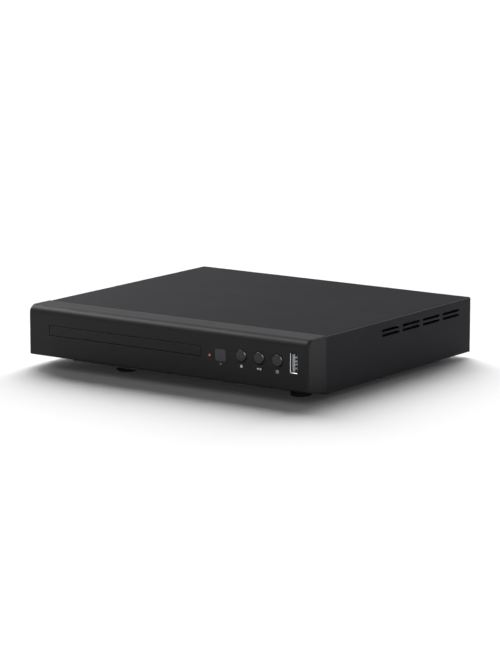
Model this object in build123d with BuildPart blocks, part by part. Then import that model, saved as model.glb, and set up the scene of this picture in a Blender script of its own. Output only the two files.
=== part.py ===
from build123d import *
import math
import os

os.makedirs("parts", exist_ok=True)

# Compact disc player, in millimetres: +Z up, front towards -Y, origin under the middle of its box.

# Case
head_room = 5.1  # clamp bridge to the cover
sheet = 0.7  # steel gauge
bend = 1.2  # outer radius of a fold in the sheet
seam = 0.3  # gap between neighbouring case pieces
cover_inset = 0.35  # cover side behind the fascia's end
cover_flange = 9.0  # fold of the cover down over the rear wall
pan_flange = 12.0  # fold of the chassis up inside the cover
rear_inset = 1.0  # rear wall in from the cover's rear edge
lip_in = 25.5  # ends of the chassis lip in from the fascia's ends
lip_depth = 6.0

# Side vents of the cover
vent_length = 21.4
vent_height = 1.7
vent_pitch = 24.8
vent_count = 4
vent_last = 25.0  # middle of the last slot in from the rear edge
vent_drop = 6.7  # upper row under the cover's top
vent_rows = 3.15

# Feet
foot_height = 3.5
foot_radius = 7.0
foot_round = 0.8
foot_back = 24.2  # front feet behind the front face
foot_rear_in = 20.0  # rear feet in from the rear edge
foot_side_in = 21.7  # feet in from the ends
foot_left_in = 63.7  # front left foot in from its end

# Fascia
fascia_depth = 20.4
fascia_rise = 0.4  # above the cover
fascia_wall = 2.2
top_round = 5.5
end_round = 1.6
lip_rise = 4.4  # front lower edge above the chassis underside
hem_rise = 0.45  # rear lower edge above the chassis underside
lip_round = 0.8
tongue_reach = 5.0  # fascia tongues under the cover
tongue_width = 14.0
tongue_thick = 1.4

# Tray door and tray
left_gap = 6.8  # chassis side to the loader
door_height = 6.5
door_rise = 22.0  # middle of the door above the chassis underside
door_thick = 2.6
door_gap = 0.3
door_round = 0.35
tray_side = 0.5  # tray narrower than the door, each side
tray_rim = 1.3  # beside the disc recess
front_rim = 3.4  # least width ahead of the disc recess
tray_height = 6.0
tail_room = 4.28  # behind the tray when it is shut
tray_travel = 130.0
tray_skirt = 1.5
tray_floor = 1.4
disc_radius = 60.0
disc_room = 0.5
disc_recess = 2.4
small_disc_radius = 40.0
small_recess = 1.6
finger_radius = 11.0
spindle_slot = 44.0

# Controls on the fascia, across and above the chassis underside
standby_in = 23.2  # last button in from the right end
button_pitch = 14.0
button_rise = 22.45
button_radius = 4.0
button_gap = 0.3
button_proud = 0.9
button_round = 0.7
button_travel = 0.55
button_flange = 1.2
button_rest_gap = 0.3  # stem to plunger
stem_radius = 2.0
light_step = 8.3  # light left of the window
light_rise = 20.15
light_radius = 1.1
light_room = 3.0  # least gap from the door to the light
window_step = 16.4  # window left of the first button
window_rise = 21.15
window_width = 8.5
window_height = 7.75
window_round = 1.2
port_in = 10.9  # socket in from the right end
port_rise = 22.15
port_width = 5.7
port_height = 13.1
port_wall = 0.35
port_setback = 0.4
port_gap = 0.35
port_tongue_thick = 1.85
port_tongue_height = 11.1
port_block = 4.0  # moulding behind the tongue

# Front board
front_board_back = 14.0  # board's face behind the front face
front_board_margin = 1.7  # beyond the light
front_board_end = 4.0  # in from the right end
front_board_low = 6.5  # above the chassis underside
front_board_high = 32.5
board_thick = 1.6
board_post = 3.0  # radius of a screw post
board_post_rise = 9.5
switch_side = 6.0
switch_depth = 3.6
plunger_radius = 1.7
plunger_reach = 1.1
plunger_travel = 0.27

# Boards on the chassis
standoff_height = 3.8
standoff_radius = 3.4
main_width = 38.0
power_width = 25.1
strip_depth = 13.0  # arm of the main board behind the loader
strip_long = 66.25
board_gap = 3.0
main_back = 32.0  # main board behind the front face
power_back = 62.0
hole_in = 4.5  # screw holes in from a board's edge
floor_vent_in = 7.0  # floor slots in from the power board's sides

# Screws
screw_radius = 1.25
screw_head = 2.6
screw_head_high = 1.5
screw_clear = 0.35
screw_core = 0.05
screw_length = 5.0

# Gear train
gear_module = 0.8
pressure = math.radians(25)
gear_slack = 0.16  # taken off each tooth
addendum = 0.9 * gear_module
dedendum = 1.25 * gear_module
pinion_teeth = 13
wheel_teeth = 26
pulley_teeth = 12
rack_in = 7.8  # pitch line in from the tray's side
rack_web = 2.0
drive_back = -32.5  # gear axis from the disc centre
pulley_back = -35.5
motor_x = -5.0
pulley_radius = 9.0  # under the belt
motor_pulley_radius = 3.0
pulley_rim = 0.9
pulley_high = 3.0
belt_wide = 1.4
belt_thick = 1.2
run_fit = 0.05  # radial, shaft in bore
play = 0.3  # between pieces that pass each other
drive_pin = 2.0
motor_radius = 8.0

# Loader frame
frame_clear = 0.5  # wall to tray
frame_wall = 2.0
frame_floor = 1.6
frame_raise = 1.0  # over the chassis floor
frame_front = -45.5  # from the disc centre
frame_room = 0.6  # least gap from the fascia to the frame
rail_wide = 2.0
rail_thick = 1.5
tab_half = 4.0
tab_middle = 35.0  # from the disc centre
tab_rear_in = 10.0
ear_reach = 6.7
ear_thick = 2.0
ear_half = 5.0
ear_front = -28.0
ear_rear = 92.0
bay_room = 1.2  # round the deck in the frame's floor

# Clamp
bridge_half = 19.0
bridge_thick = 2.0
bridge_rise = 2.6  # over the tray
rib_high = 2.0
clamper_radius = 12.0
clamper_flange = 15.5
clamper_rise = 0.45  # over the tray's rim
clamper_room = 0.6
clamper_bore = 8.4

# Lifting deck
deck_tilt = 3.1  # degrees, front down
pivot_back = 83.5
pivot_z = 15.2
pivot_radius = 2.0
deck_room = 1.7  # feed motor to the deck's side
lift_front = -20.5
lift_tail = 3.5  # behind the pivots
lift_bar = 7.3
lift_side = 5.0
lift_low = 13.0
lift_high = 17.5
cam_travel = 16.0
cam_pin_radius = 1.5
cam_pins = (-30.0, 12.0)
cam_pin_z = 15.5
cam_ahead = 4.5  # cam slider's face ahead of the deck
cam_thick = 2.0
cam_margin = 2.0
damper_side_in = 8.0
damper_in = 3.7
damper_radius = 3.4
damper_neck = 2.2
damper_flange = 0.8
stud_radius = 1.2
plate_thick = 1.2
plate_in = 4.0  # traverse plate narrower than the deck, each side

# Spindle, pickup and feed
spindle_radius = 12.0
spindle_low = 10.5
shaft_radius = 1.0
disc_lift = 1.0  # disc raised off the tray when it plays
table_radius = 15.0
hub_radius = 7.4
hub_high = 2.0
mat_wide = 5.6
rod_x = 17.5
rod_radius = 1.5
rod_z = 15.5
lens_back = 25.0  # lens from the disc centre at its inner limit
pickup_travel = 34.0
pickup_front = 12.0  # body ahead of and behind the lens
pickup_rear = 16.0
pickup_half = 20.5
window_room = 1.0
feed_out = 6.5  # feed screw beyond the pickup's side
feed_motor_radius = 4.3
feed_motor_front = -9.5
feed_motor_long = 12.5
feed_screw_radius = 1.5
holder_thick = 3.0

# Rear sockets
jack_reach = 8.0  # beyond the rear wall
jack_pitch = 14.0
jack_side = 34.25  # middle jack left of the main board
jack_rise = 8.0  # over the board
barrel_radius = 4.15
barrel_wall = 0.75
ring_radius = 5.4
ring_proud = 1.5
ring_room = 0.3
shoulder_out = 0.2  # barrel's foot wider than its free end
block_deep = 11.0
digital_in = 17.75  # digital socket in from the main board's side
digital_width = 15.0
digital_height = 5.8
digital_depth = 11.5
digital_wall = 0.4
inlet_width = 20.4
inlet_height = 12.0
inlet_depth = 15.0
inlet_mouth = 17.4
inlet_mouth_high = 9.0
inlet_hollow = 12.6
inlet_rise = 6.6  # over the board
inlet_pin_pitch = 8.6
inlet_pin_radius = 1.2
inlet_pin_long = 10.0

# Places that follow from the sizes above
pinion_radius = pinion_teeth * gear_module / 2
tray_half = disc_radius + disc_room + tray_rim
door_width = 2 * (tray_half + tray_side)
disc_front = door_thick + front_rim + disc_room + disc_radius
disc_back = max(disc_front, fascia_depth + frame_room - frame_front)  # disc centre behind the front face
rack_line = tray_half - rack_in
tray_tail = drive_back + tray_travel + pinion_radius + addendum + play + tray_skirt
frame_half = tray_half + frame_clear + frame_wall
frame_tail = tray_tail + tail_room + frame_wall
case_edge = cover_inset + sheet + seam + sheet  # fascia's end to the chassis' inner side
loader_width = 2 * (frame_half + ear_reach)
tray_in = case_edge + left_gap + loader_width / 2  # tray's middle in from the left end
boards_reach = loader_width / 2 + main_width + power_width + 3 * board_gap + case_edge
controls_width = light_room + light_radius + light_step + window_step + 2 * button_pitch + standby_in
case_width = tray_in + max(boards_reach, door_width / 2 + door_gap + controls_width)
tray_x = tray_in - case_width / 2
body_depth = disc_back + frame_tail + board_gap + strip_depth + seam + sheet + rear_inset
overall_depth = button_proud + body_depth - rear_inset + jack_reach
front_y = button_proud - overall_depth / 2
rear_y = front_y + body_depth
panel_y = rear_y - rear_inset
wall_y = panel_y - sheet  # inner face of the rear wall
bridge_high = tray_height / 2 + bridge_rise + bridge_thick + rib_high  # over the door's middle
case_height = door_rise + bridge_high + head_room + sheet
floor_z = foot_height
floor_top = floor_z + sheet
top_z = floor_z + case_height
fascia_back = front_y + fascia_depth
fascia_top = top_z + fascia_rise
inner_y = front_y + fascia_wall  # inner face of the fascia's front wall
cover_front = fascia_back + seam
cover_width = case_width - 2 * cover_inset
pan_half = cover_width / 2 - sheet - seam
door_z = floor_z + door_rise
tray_low = door_z - tray_height / 2
tray_high = door_z + tray_height / 2
disc_y = front_y + disc_back
tray_front = door_thick - disc_back  # from the disc centre
recess_z = tray_high - disc_recess
rack_top = recess_z - tray_floor
board_z = floor_top + standoff_height
board_top = board_z + board_thick
button_z = floor_z + button_rise
port_z = floor_z + port_rise
right_end = case_width / 2
port_x = right_end - port_in
button_xs = [right_end - standby_in - i * button_pitch for i in (2, 1, 0)]
window_x = button_xs[0] - window_step
light_x = window_x - light_step
front_board_left = light_x - front_board_margin
front_board_right = right_end - front_board_end
lip_half = right_end - lip_in
lift_rear = pivot_back + lift_tail
cam_front = lift_front - cam_ahead
feed_x = pickup_half + feed_out
lift_half = feed_x + feed_motor_radius + deck_room + lift_side
deck_bay = lift_half + bay_room
board_face = front_y + front_board_back
loader = Plane(origin=(tray_x, disc_y, 0))
spindle = Axis((tray_x, disc_y, 0), (0, 0, 1))
low = (Align.CENTER, Align.CENTER, Align.MIN)
pieces = {}


def at_y(y):
    """Upright plane that faces the front, at a place along the depth."""
    return Plane.XZ.offset(-y)


def upright_at(u, v, z):
    """Upright plane that faces the front, at a place measured from the disc centre."""
    return Plane(origin=(tray_x + u, disc_y + v, z), x_dir=(1, 0, 0), z_dir=(0, -1, 0))


def slab(x_span, y_span, z_span, mode=Mode.ADD):
    """Straight-sided block between three pairs of faces."""
    middle = tuple((a + b) / 2 for a, b in (x_span, y_span, z_span))
    with Locations(middle):
        Box(x_span[1] - x_span[0], y_span[1] - y_span[0], z_span[1] - z_span[0], mode=mode)


def post(x, y, z_span, radius, mode=Mode.ADD):
    """Round upright post or hole."""
    with Locations((x, y, z_span[0])):
        Cylinder(radius, z_span[1] - z_span[0], align=low, mode=mode)


def rod(x, z, y_span, radius, mode=Mode.ADD):
    """Round bar or hole that runs front to back."""
    with Locations(Location((x, y_span[1], z), (90, 0, 0))):
        Cylinder(radius, y_span[1] - y_span[0], align=low, mode=mode)


def prism(place, length, radius, sides, mode=Mode.ADD):
    """Many-sided bar or hole whose flats clear a radius, along a place's own axis."""
    with BuildSketch(Plane(place)) as face:
        RegularPolygon(radius, sides, major_radius=False)
    extrude(face.sketch, amount=length, mode=mode)


def keep(name, builder):
    """Label a finished piece and note it for export."""
    builder.part.label = name
    pieces[name] = builder.part


# Front fascia


def fascia_side(inset, back):
    """Side outline of the fascia, drawn in from its skin and run back to a depth."""
    with BuildSketch(Plane.YZ) as outline:
        with BuildLine():
            Polyline(
                (front_y + inset, floor_z + lip_rise + inset),
                (front_y + inset, fascia_top - inset),
                (back, fascia_top - inset),
                (back, floor_z + hem_rise + inset),
                close=True,
            )
        make_face()
        corner = outline.vertices().group_by(Axis.X)[0].sort_by(Axis.Y)[-1]
        fillet(corner, top_round - inset)
    return outline.sketch


post_places = [(x, floor_z + board_post_rise) for x in (window_x, button_xs[2] - button_pitch / 2)]
tongue_xs = [case_width * share for share in (-0.36, -0.12, 0.12, 0.36)]

with BuildPart() as front_fascia:
    extrude(fascia_side(0, fascia_back), amount=case_width / 2, both=True)
    end_edges = front_fascia.faces().filter_by(Axis.X).edges()
    rounded = [
        edge
        for edge in end_edges
        if edge.center().Y < fascia_back - seam and edge.center().Z > floor_z + lip_rise + end_round
    ]
    fillet(rounded, end_round)
    front_edges = front_fascia.edges().filter_by(Axis.X).group_by(Axis.Y)[0]
    fillet(front_edges.sort_by(Axis.Z)[0], lip_round)
    hollow = fascia_side(fascia_wall, fascia_back + seam)
    extrude(hollow, amount=case_width / 2 - fascia_wall, both=True, mode=Mode.SUBTRACT)
    # room for the chassis lip under the rear edge
    slab(
        (-lip_half - seam, lip_half + seam),
        (fascia_back - lip_depth - seam, fascia_back + seam),
        (floor_z, floor_top + seam / 2),
        mode=Mode.SUBTRACT,
    )
    # screw posts for the front board
    for x, z in post_places:
        rod(x, z, (inner_y - fascia_wall / 2, board_face), board_post)
        rod(x, z, (board_face - 2 * screw_length, board_face), screw_radius + screw_core, mode=Mode.SUBTRACT)
    # tongues that carry the cover's front edge
    for x in tongue_xs:
        slab(
            (x - tongue_width / 2, x + tongue_width / 2),
            (fascia_back - fascia_depth / 2, fascia_back + tongue_reach),
            (top_z - sheet - seam / 2 - tongue_thick, top_z - sheet - seam / 2),
        )
    # openings of the front wall
    with BuildSketch(at_y(front_y - seam)):
        with Locations((tray_x, door_z)):
            Rectangle(door_width + 2 * door_gap, door_height + 2 * door_gap)
        with Locations(*[(x, button_z) for x in button_xs]):
            Circle(button_radius + button_gap)
        with Locations((light_x, floor_z + light_rise)):
            Circle(light_radius + run_fit)
        with Locations((window_x, floor_z + window_rise)):
            RectangleRounded(window_width + 2 * run_fit, window_height + 2 * run_fit, window_round)
        with Locations((port_x, port_z)):
            Rectangle(port_width + 2 * port_gap, port_height + 2 * port_gap)
    extrude(amount=-(fascia_wall + 2 * seam), mode=Mode.SUBTRACT)
keep("front_fascia", front_fascia)

# Top cover: a folded sheet with a rear flange and vented sides

cover_screw_xs = [-cover_width * 0.4, 0.0, cover_width * 0.4]
cover_screw_z = top_z - cover_flange / 2 - sheet

with BuildPart() as top_cover:
    with BuildSketch(at_y(cover_front)) as section:
        with Locations((0, floor_z)):
            Rectangle(cover_width, case_height, align=(Align.CENTER, Align.MIN))
        fillet(section.vertices().group_by(Axis.Y)[-1], bend)
        with Locations((0, floor_z)):
            inner_size = (cover_width - 2 * sheet, case_height - sheet)
            Rectangle(*inner_size, align=(Align.CENTER, Align.MIN), mode=Mode.SUBTRACT)
        under = section.vertices().filter_by_position(Axis.Y, top_z - 1.01 * sheet, top_z - 0.99 * sheet)
        fillet(under, bend - sheet)
    extrude(amount=-(rear_y - cover_front))
    slab(
        (-cover_width / 2 + bend, cover_width / 2 - bend),
        (rear_y - sheet, rear_y),
        (top_z - cover_flange, top_z - sheet / 2),
    )
    with BuildSketch(Plane.YZ):
        for row in range(2):
            for column in range(vent_count):
                vent_y = rear_y - vent_last - column * vent_pitch
                with Locations((vent_y, top_z - vent_drop - row * vent_rows)):
                    SlotOverall(vent_length, vent_height)
    extrude(amount=case_width, both=True, mode=Mode.SUBTRACT)
    for x in cover_screw_xs:
        rod(x, cover_screw_z, (wall_y, rear_y), screw_radius + screw_clear, mode=Mode.SUBTRACT)
keep("top_cover", top_cover)

# Chassis pan: floor, side flanges, rear wall, front lip and board standoffs

frame_rear_y = disc_y + frame_tail
main_left = tray_x + frame_half + ear_reach + board_gap
main_right = main_left + main_width
power_left = main_right + board_gap
power_right = power_left + power_width
board_rear = wall_y - seam
main_front = front_y + main_back
power_front = front_y + power_back
strip_front = frame_rear_y + board_gap
strip_left = main_left - strip_long
jack_x = main_left - jack_side
digital_x = main_left + digital_in
ear_x = frame_half + standoff_radius / math.cos(math.pi / 6) + seam
ear_places = [(tray_x + side * ear_x, disc_y + v) for side in (-1, 1) for v in (ear_front, ear_rear)]
board_places = [
    (main_left + hole_in, main_front + hole_in),
    (main_right - hole_in, main_front + hole_in),
    (main_left + hole_in, strip_front - hole_in),
    (strip_left + hole_in, (strip_front + board_rear) / 2),
    (power_left + hole_in, power_front + hole_in),
    (power_right - hole_in, power_front + hole_in),
    (power_left + hole_in, strip_front - hole_in),
]
jack_xs = [jack_x + i * jack_pitch for i in (-1, 0, 1)]
jack_z = board_top + jack_rise
inlet_x = (power_left + power_right) / 2
inlet_z = board_top + inlet_rise
digital_z = board_top + digital_height / 2

with BuildPart() as chassis_pan:
    with BuildSketch(at_y(cover_front)) as section:
        with Locations((0, floor_z)):
            Rectangle(2 * pan_half, pan_flange, align=(Align.CENTER, Align.MIN))
        fillet(section.vertices().group_by(Axis.Y)[0], bend)
        with Locations((0, floor_top)):
            inner_size = (2 * (pan_half - sheet), pan_flange)
            Rectangle(*inner_size, align=(Align.CENTER, Align.MIN), mode=Mode.SUBTRACT)
    extrude(amount=-(panel_y - cover_front))
    slab((-lip_half, lip_half), (fascia_back - lip_depth, cover_front), (floor_z, floor_top))
    slab((-pan_half, pan_half), (wall_y, panel_y), (floor_z + bend, top_z - sheet - seam))
    for x, y in ear_places + board_places:
        foot_of = Location((x, y, floor_top))
        prism(foot_of, standoff_height, standoff_radius, 6)
        prism(foot_of, standoff_height, screw_radius + screw_core, 6, mode=Mode.SUBTRACT)
    # openings of the rear wall
    with BuildSketch(at_y(wall_y - seam)):
        with Locations(*[(x, jack_z) for x in jack_xs]):
            Circle(ring_radius + ring_room)
        with Locations((digital_x, digital_z)):
            Rectangle(digital_width + 2 * ring_room, digital_height + 2 * ring_room)
        with Locations((inlet_x, inlet_z)):
            SlotOverall(inlet_width + 2 * ring_room, inlet_height + 2 * ring_room)
        with Locations(*[(x, cover_screw_z) for x in cover_screw_xs]):
            Circle(screw_radius + screw_core)
    extrude(amount=-(sheet + 2 * seam), mode=Mode.SUBTRACT)
    # slots of the floor under the power board
    with BuildSketch(Plane.XY.offset(floor_z)):
        with Locations((inlet_x, (power_front + strip_front) / 2)):
            with GridLocations(0, vent_rows * 2, 1, 6):
                SlotOverall(power_width - 2 * floor_vent_in, vent_height)
    extrude(amount=sheet, mode=Mode.SUBTRACT)
keep("chassis_pan", chassis_pan)

# Feet

foot_places = {
    "foot_front_left": (foot_left_in - right_end, front_y + foot_back),
    "foot_front_right": (right_end - foot_side_in, front_y + foot_back),
    "foot_rear_left": (foot_side_in - right_end, rear_y - foot_rear_in),
    "foot_rear_right": (right_end - foot_side_in, rear_y - foot_rear_in),
}
for name, (x, y) in foot_places.items():
    with BuildPart() as foot:
        post(x, y, (0, foot_height), foot_radius)
        chamfer(foot.edges().group_by(Axis.Z)[0], foot_round)
    keep(name, foot)

# Screws: a pan head on a plain shank


def screw(place, length):
    """One screw, head up, standing on a place."""
    prism(place, screw_head_high, screw_head, 12)
    prism(place, -length, screw_radius * math.cos(math.pi / 6), 6)


with BuildPart() as cover_screws:
    for x in cover_screw_xs:
        screw(Location((x, rear_y, cover_screw_z), (-90, 0, 0)), screw_length)
keep("cover_screws", cover_screws)

bridge_z = tray_high + bridge_rise
with BuildPart() as loader_screws:
    for x, y in ear_places:
        screw(Location((x, y, board_z + ear_thick)), screw_length)
keep("loader_screws", loader_screws)

with BuildPart() as board_screws:
    for x, y in board_places:
        screw(Location((x, y, board_top)), screw_length)
    for x, z in post_places:
        screw(Location((x, board_face + board_thick, z), (-90, 0, 0)), screw_length)
keep("board_screws", board_screws)

# Infrared window, standby light, buttons and their switches

trim_flange = 1.0  # width and thickness of the flange behind a window or lens
trim_setback = 0.1

with BuildPart() as ir_window:
    window_z = floor_z + window_rise
    with BuildSketch(at_y(front_y + trim_setback)):
        with Locations((window_x, window_z)):
            RectangleRounded(window_width, window_height, window_round)
    extrude(amount=-(fascia_wall - trim_setback))
    with BuildSketch(at_y(inner_y)):
        with Locations((window_x, window_z)):
            Rectangle(window_width + 2 * trim_flange, window_height + 2 * trim_flange)
    extrude(amount=-trim_flange)
keep("ir_window", ir_window)

lens_long = 6.5
with BuildPart() as led_lens:
    light_z = floor_z + light_rise
    rod(light_x, light_z, (front_y - 2 * trim_setback, front_y + lens_long), light_radius)
    chamfer(led_lens.edges().group_by(Axis.Y)[0], light_radius / 4)
    rod(light_x, light_z, (inner_y, inner_y + trim_flange), light_radius + trim_flange)
keep("led_lens", led_lens)

switch_face = board_face - switch_depth
plunger_face = switch_face - plunger_reach
stem_end = plunger_face - button_rest_gap
plunger_hole = plunger_travel + 2 * button_rest_gap
button_names = ("eject", "play", "standby")

for name, x in zip(button_names, button_xs):
    axis = Axis((x, front_y, button_z), (0, 1, 0))
    flange_y = fascia_wall + button_gap
    with BuildPart() as button:
        with BuildSketch(Plane(origin=(x, front_y, button_z))):
            with BuildLine():
                Polyline(
                    (0, -button_proud),
                    (button_radius - button_round, -button_proud),
                    (button_radius - button_round * 0.3, button_round * 0.3 - button_proud),
                    (button_radius, button_round - button_proud),
                    (button_radius, flange_y),
                    (button_radius + button_flange, flange_y),
                    (button_radius + button_flange, flange_y + button_flange),
                    (stem_radius, flange_y + button_flange),
                    (stem_radius, stem_end - front_y),
                    (0, stem_end - front_y),
                    close=True,
                )
            make_face()
        revolve(axis=axis)
    keep(f"{name}_button", button)
    with BuildPart() as plunger:
        rod(x, button_z, (plunger_face, switch_face + button_rest_gap), plunger_radius)
    keep(f"{name}_plunger", plunger)

with BuildPart() as tact_switches:
    for x in button_xs:
        slab(
            (x - switch_side / 2, x + switch_side / 2),
            (switch_face, board_face),
            (button_z - switch_side / 2, button_z + switch_side / 2),
        )
        hole = (switch_face, switch_face + plunger_hole)
        rod(x, button_z, hole, plunger_radius + run_fit, mode=Mode.SUBTRACT)
keep("tact_switches", tact_switches)

receiver_width = 6.4
receiver_depth = 4.2
with BuildPart() as ir_receiver:
    with BuildSketch(at_y(board_face - receiver_depth)):
        with Locations((window_x, window_z)):
            Rectangle(receiver_width, window_height)
    extrude(amount=-receiver_depth)
    dome = receiver_width / 3
    post(window_x, board_face - receiver_depth, (window_z - dome, window_z + dome), dome)
keep("ir_receiver", ir_receiver)

led_radius = 1.5
led_start = front_y + lens_long + button_rest_gap
with BuildPart() as standby_led:
    rod(light_x, light_z, (led_start, board_face), led_radius)
    chamfer(standby_led.edges().group_by(Axis.Y)[0], led_radius / 2)
keep("standby_led", standby_led)

ribbon_x = (main_left + main_right) / 2
ribbon_wide = 14.0
ribbon_thick = 0.3
ribbon_z = board_top + 4.0
plug_deep = 3.0
with BuildPart() as front_board:
    with BuildSketch(at_y(board_face)):
        with Locations(((front_board_left + front_board_right) / 2, floor_z)):
            middle = (front_board_low + front_board_high) / 2
            with Locations((0, middle)):
                Rectangle(front_board_right - front_board_left, front_board_high - front_board_low)
        with Locations(*post_places):
            Circle(screw_radius + screw_clear, mode=Mode.SUBTRACT)
    extrude(amount=-board_thick)
    # ribbon plug on the back
    slab(
        (ribbon_x - ribbon_wide / 2 - 1, ribbon_x + ribbon_wide / 2 + 1),
        (board_face + board_thick, board_face + board_thick + plug_deep),
        (ribbon_z - plug_deep / 2, ribbon_z + plug_deep / 2),
    )
keep("front_board", front_board)

# Front socket: metal shell round a tongue that carries the contacts

port_front = front_y + port_setback
port_base = board_face - port_block
with BuildPart() as port_shell:
    with BuildSketch(at_y(port_front)):
        with Locations((port_x, port_z)):
            RectangleRounded(port_width, port_height, 2 * port_wall)
            inner_size = (port_width - 2 * port_wall, port_height - 2 * port_wall)
            RectangleRounded(*inner_size, port_wall, mode=Mode.SUBTRACT)
    extrude(amount=-(board_face - port_front))
keep("port_shell", port_shell)

with BuildPart() as port_tongue:
    room = 2 * port_wall + 2 * run_fit
    with BuildSketch(at_y(port_base)):
        with Locations((port_x, port_z)):
            RectangleRounded(port_width - room, port_height - room, port_wall)
    extrude(amount=-(board_face - port_base))
    tongue_x = port_x - port_width / 2 + port_wall + port_tongue_thick
    with BuildSketch(at_y(port_front + 2 * port_setback)):
        with Locations((tongue_x, port_z)):
            Rectangle(port_tongue_thick, port_tongue_height)
    extrude(amount=-(port_base - port_front - 2 * port_setback))
keep("port_tongue", port_tongue)

# Tray door and disc tray

with BuildPart() as tray_door:
    with BuildSketch(at_y(front_y)):
        with Locations((tray_x, door_z)):
            Rectangle(door_width, door_height)
    extrude(amount=-door_thick)
    fillet(tray_door.faces().sort_by(Axis.Y)[0].edges(), door_round)
keep("tray_door", tray_door)

pitch = math.pi * gear_module
wheel_radius = wheel_teeth * gear_module / 2
pulley_pinion_radius = pulley_teeth * gear_module / 2
drive_x = rack_line - pinion_radius
axis_step = wheel_radius + pulley_pinion_radius
pulley_x = drive_x - math.sqrt(axis_step**2 - (drive_back - pulley_back) ** 2)
mesh_angle = math.degrees(math.atan2(pulley_back - drive_back, pulley_x - drive_x))


def rack_face():
    """Straight row of teeth along the tray, pointing inwards, in step with the pinion at rest."""
    root = rack_line + dedendum
    tip = rack_line - addendum
    half = pitch / 4 - gear_slack / 2
    half_root = half + dedendum * math.tan(pressure)
    half_tip = half - addendum * math.tan(pressure)
    last = math.ceil(tray_travel / pitch) + 1
    points = []
    for tooth in range(-2, last + 1):
        middle = drive_back + tooth * pitch
        points += [(root, middle - half_root), (tip, middle - half_tip)]
        points += [(tip, middle + half_tip), (root, middle + half_root)]
    points += [(root + rack_web, points[-1][1]), (root + rack_web, points[0][1])]
    with BuildSketch() as face:
        with BuildLine():
            Polyline(*points, close=True)
        make_face()
    return face.sketch


def gear_face(teeth):
    """Spur gear outline with involute flanks and a tooth on the +X axis."""
    pitch_radius = teeth * gear_module / 2
    base = pitch_radius * math.cos(pressure)
    half = math.pi / (2 * teeth) - gear_slack / (2 * pitch_radius)

    def half_angle(radius):
        roll = math.acos(min(1.0, base / radius))
        return half + (math.tan(pressure) - pressure) - (math.tan(roll) - roll)

    flank = [(r, half_angle(r)) for r in (base, pitch_radius, pitch_radius + addendum)]
    flank = [(pitch_radius - dedendum, half_angle(base))] + flank
    points = []
    for tooth in range(teeth):
        middle = 2 * math.pi * tooth / teeth
        rising = [(r, middle - angle) for r, angle in flank]
        falling = [(r, middle + angle) for r, angle in reversed(flank)]
        points += [(r * math.cos(a), r * math.sin(a)) for r, a in rising + falling]
    with BuildSketch() as face:
        with BuildLine():
            Polyline(*points, close=True)
        make_face()
    return face.sketch


with BuildPart(loader) as disc_tray:
    tray_long = tray_tail - tray_front
    with BuildSketch(loader.offset(tray_low)) as outline:
        with Locations((0, tray_front)):
            Rectangle(2 * tray_half, tray_long, align=(Align.CENTER, Align.MIN))
        fillet(outline.vertices().group_by(Axis.Y)[-1], 3 * tray_skirt)
    extrude(amount=tray_height)
    # hollow underside, left deeper round the small recess
    with BuildSketch(loader.offset(tray_low)):
        with Locations((0, tray_front + tray_skirt)):
            inner_size = (2 * (tray_half - tray_skirt), tray_long - 2 * tray_skirt)
            Rectangle(*inner_size, align=(Align.CENTER, Align.MIN))
        Circle(small_disc_radius + disc_room + tray_floor, mode=Mode.SUBTRACT)
    extrude(amount=rack_top - tray_low, mode=Mode.SUBTRACT)
    # recesses for a large and a small disc
    with BuildSketch(loader.offset(recess_z)):
        Circle(disc_radius + disc_room)
    extrude(amount=disc_recess, mode=Mode.SUBTRACT)
    with BuildSketch(loader.offset(recess_z - small_recess)):
        Circle(small_disc_radius + disc_room)
    extrude(amount=small_recess, mode=Mode.SUBTRACT)
    # finger wells at the front corners of the recess
    finger_at = (disc_radius + disc_room) * math.sqrt(0.5)
    with BuildSketch(loader.offset(recess_z)):
        with Locations((-finger_at, -finger_at), (finger_at, -finger_at)):
            Circle(finger_radius)
    extrude(amount=disc_recess, mode=Mode.SUBTRACT)
    # slot for the turntable and the pickup, open to the rear
    with BuildSketch(loader.offset(tray_low)):
        Circle(spindle_slot / 2)
        Rectangle(spindle_slot, tray_tail, align=(Align.CENTER, Align.MIN))
    extrude(amount=tray_height, mode=Mode.SUBTRACT)
    # walls of the underside along the slot, and the rack
    for side in (-1, 1):
        edge = side * spindle_slot / 2
        slab(
            sorted((edge, edge + side * tray_skirt)),
            (small_disc_radius, tray_tail),
            (tray_low, rack_top),
        )
    with BuildSketch(loader.offset(tray_low)):
        add(rack_face())
    extrude(amount=rack_top - tray_low)
keep("disc_tray", disc_tray)

# Gears of the tray drive

wheel_top = tray_low - 1.0
wheel_thick = 2.8
wheel_low = wheel_top - wheel_thick
pulley_top = wheel_low - 1.0
pulley_low = pulley_top - pulley_high
pinion_top = rack_top - play
belt_z = (pulley_top + pulley_low) / 2

with BuildPart(loader) as drive_gear:
    with BuildSketch(loader.offset(wheel_low)):
        with Locations((drive_x, drive_back)):
            add(gear_face(wheel_teeth), rotation=mesh_angle)
    extrude(amount=wheel_thick)
    with BuildSketch(loader.offset(wheel_top)):
        with Locations((drive_x, drive_back)):
            add(gear_face(pinion_teeth), rotation=180 / pinion_teeth)
    extrude(amount=pinion_top - wheel_top)
    post(drive_x, drive_back, (wheel_low, pinion_top), drive_pin + run_fit, mode=Mode.SUBTRACT)
keep("drive_gear", drive_gear)


def pulley_half(groove, bore):
    """Half section of a belt pulley from its bore to its rims, from its low face up."""
    rim = groove + pulley_rim
    side = (pulley_high - belt_wide) / 2 - run_fit
    with BuildSketch() as half:
        with BuildLine():
            Polyline(
                (bore, 0),
                (rim, 0),
                (rim, side),
                (groove, side),
                (groove, pulley_high - side),
                (rim, pulley_high - side),
                (rim, pulley_high),
                (bore, pulley_high),
                close=True,
            )
        make_face()
    return half.sketch


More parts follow.
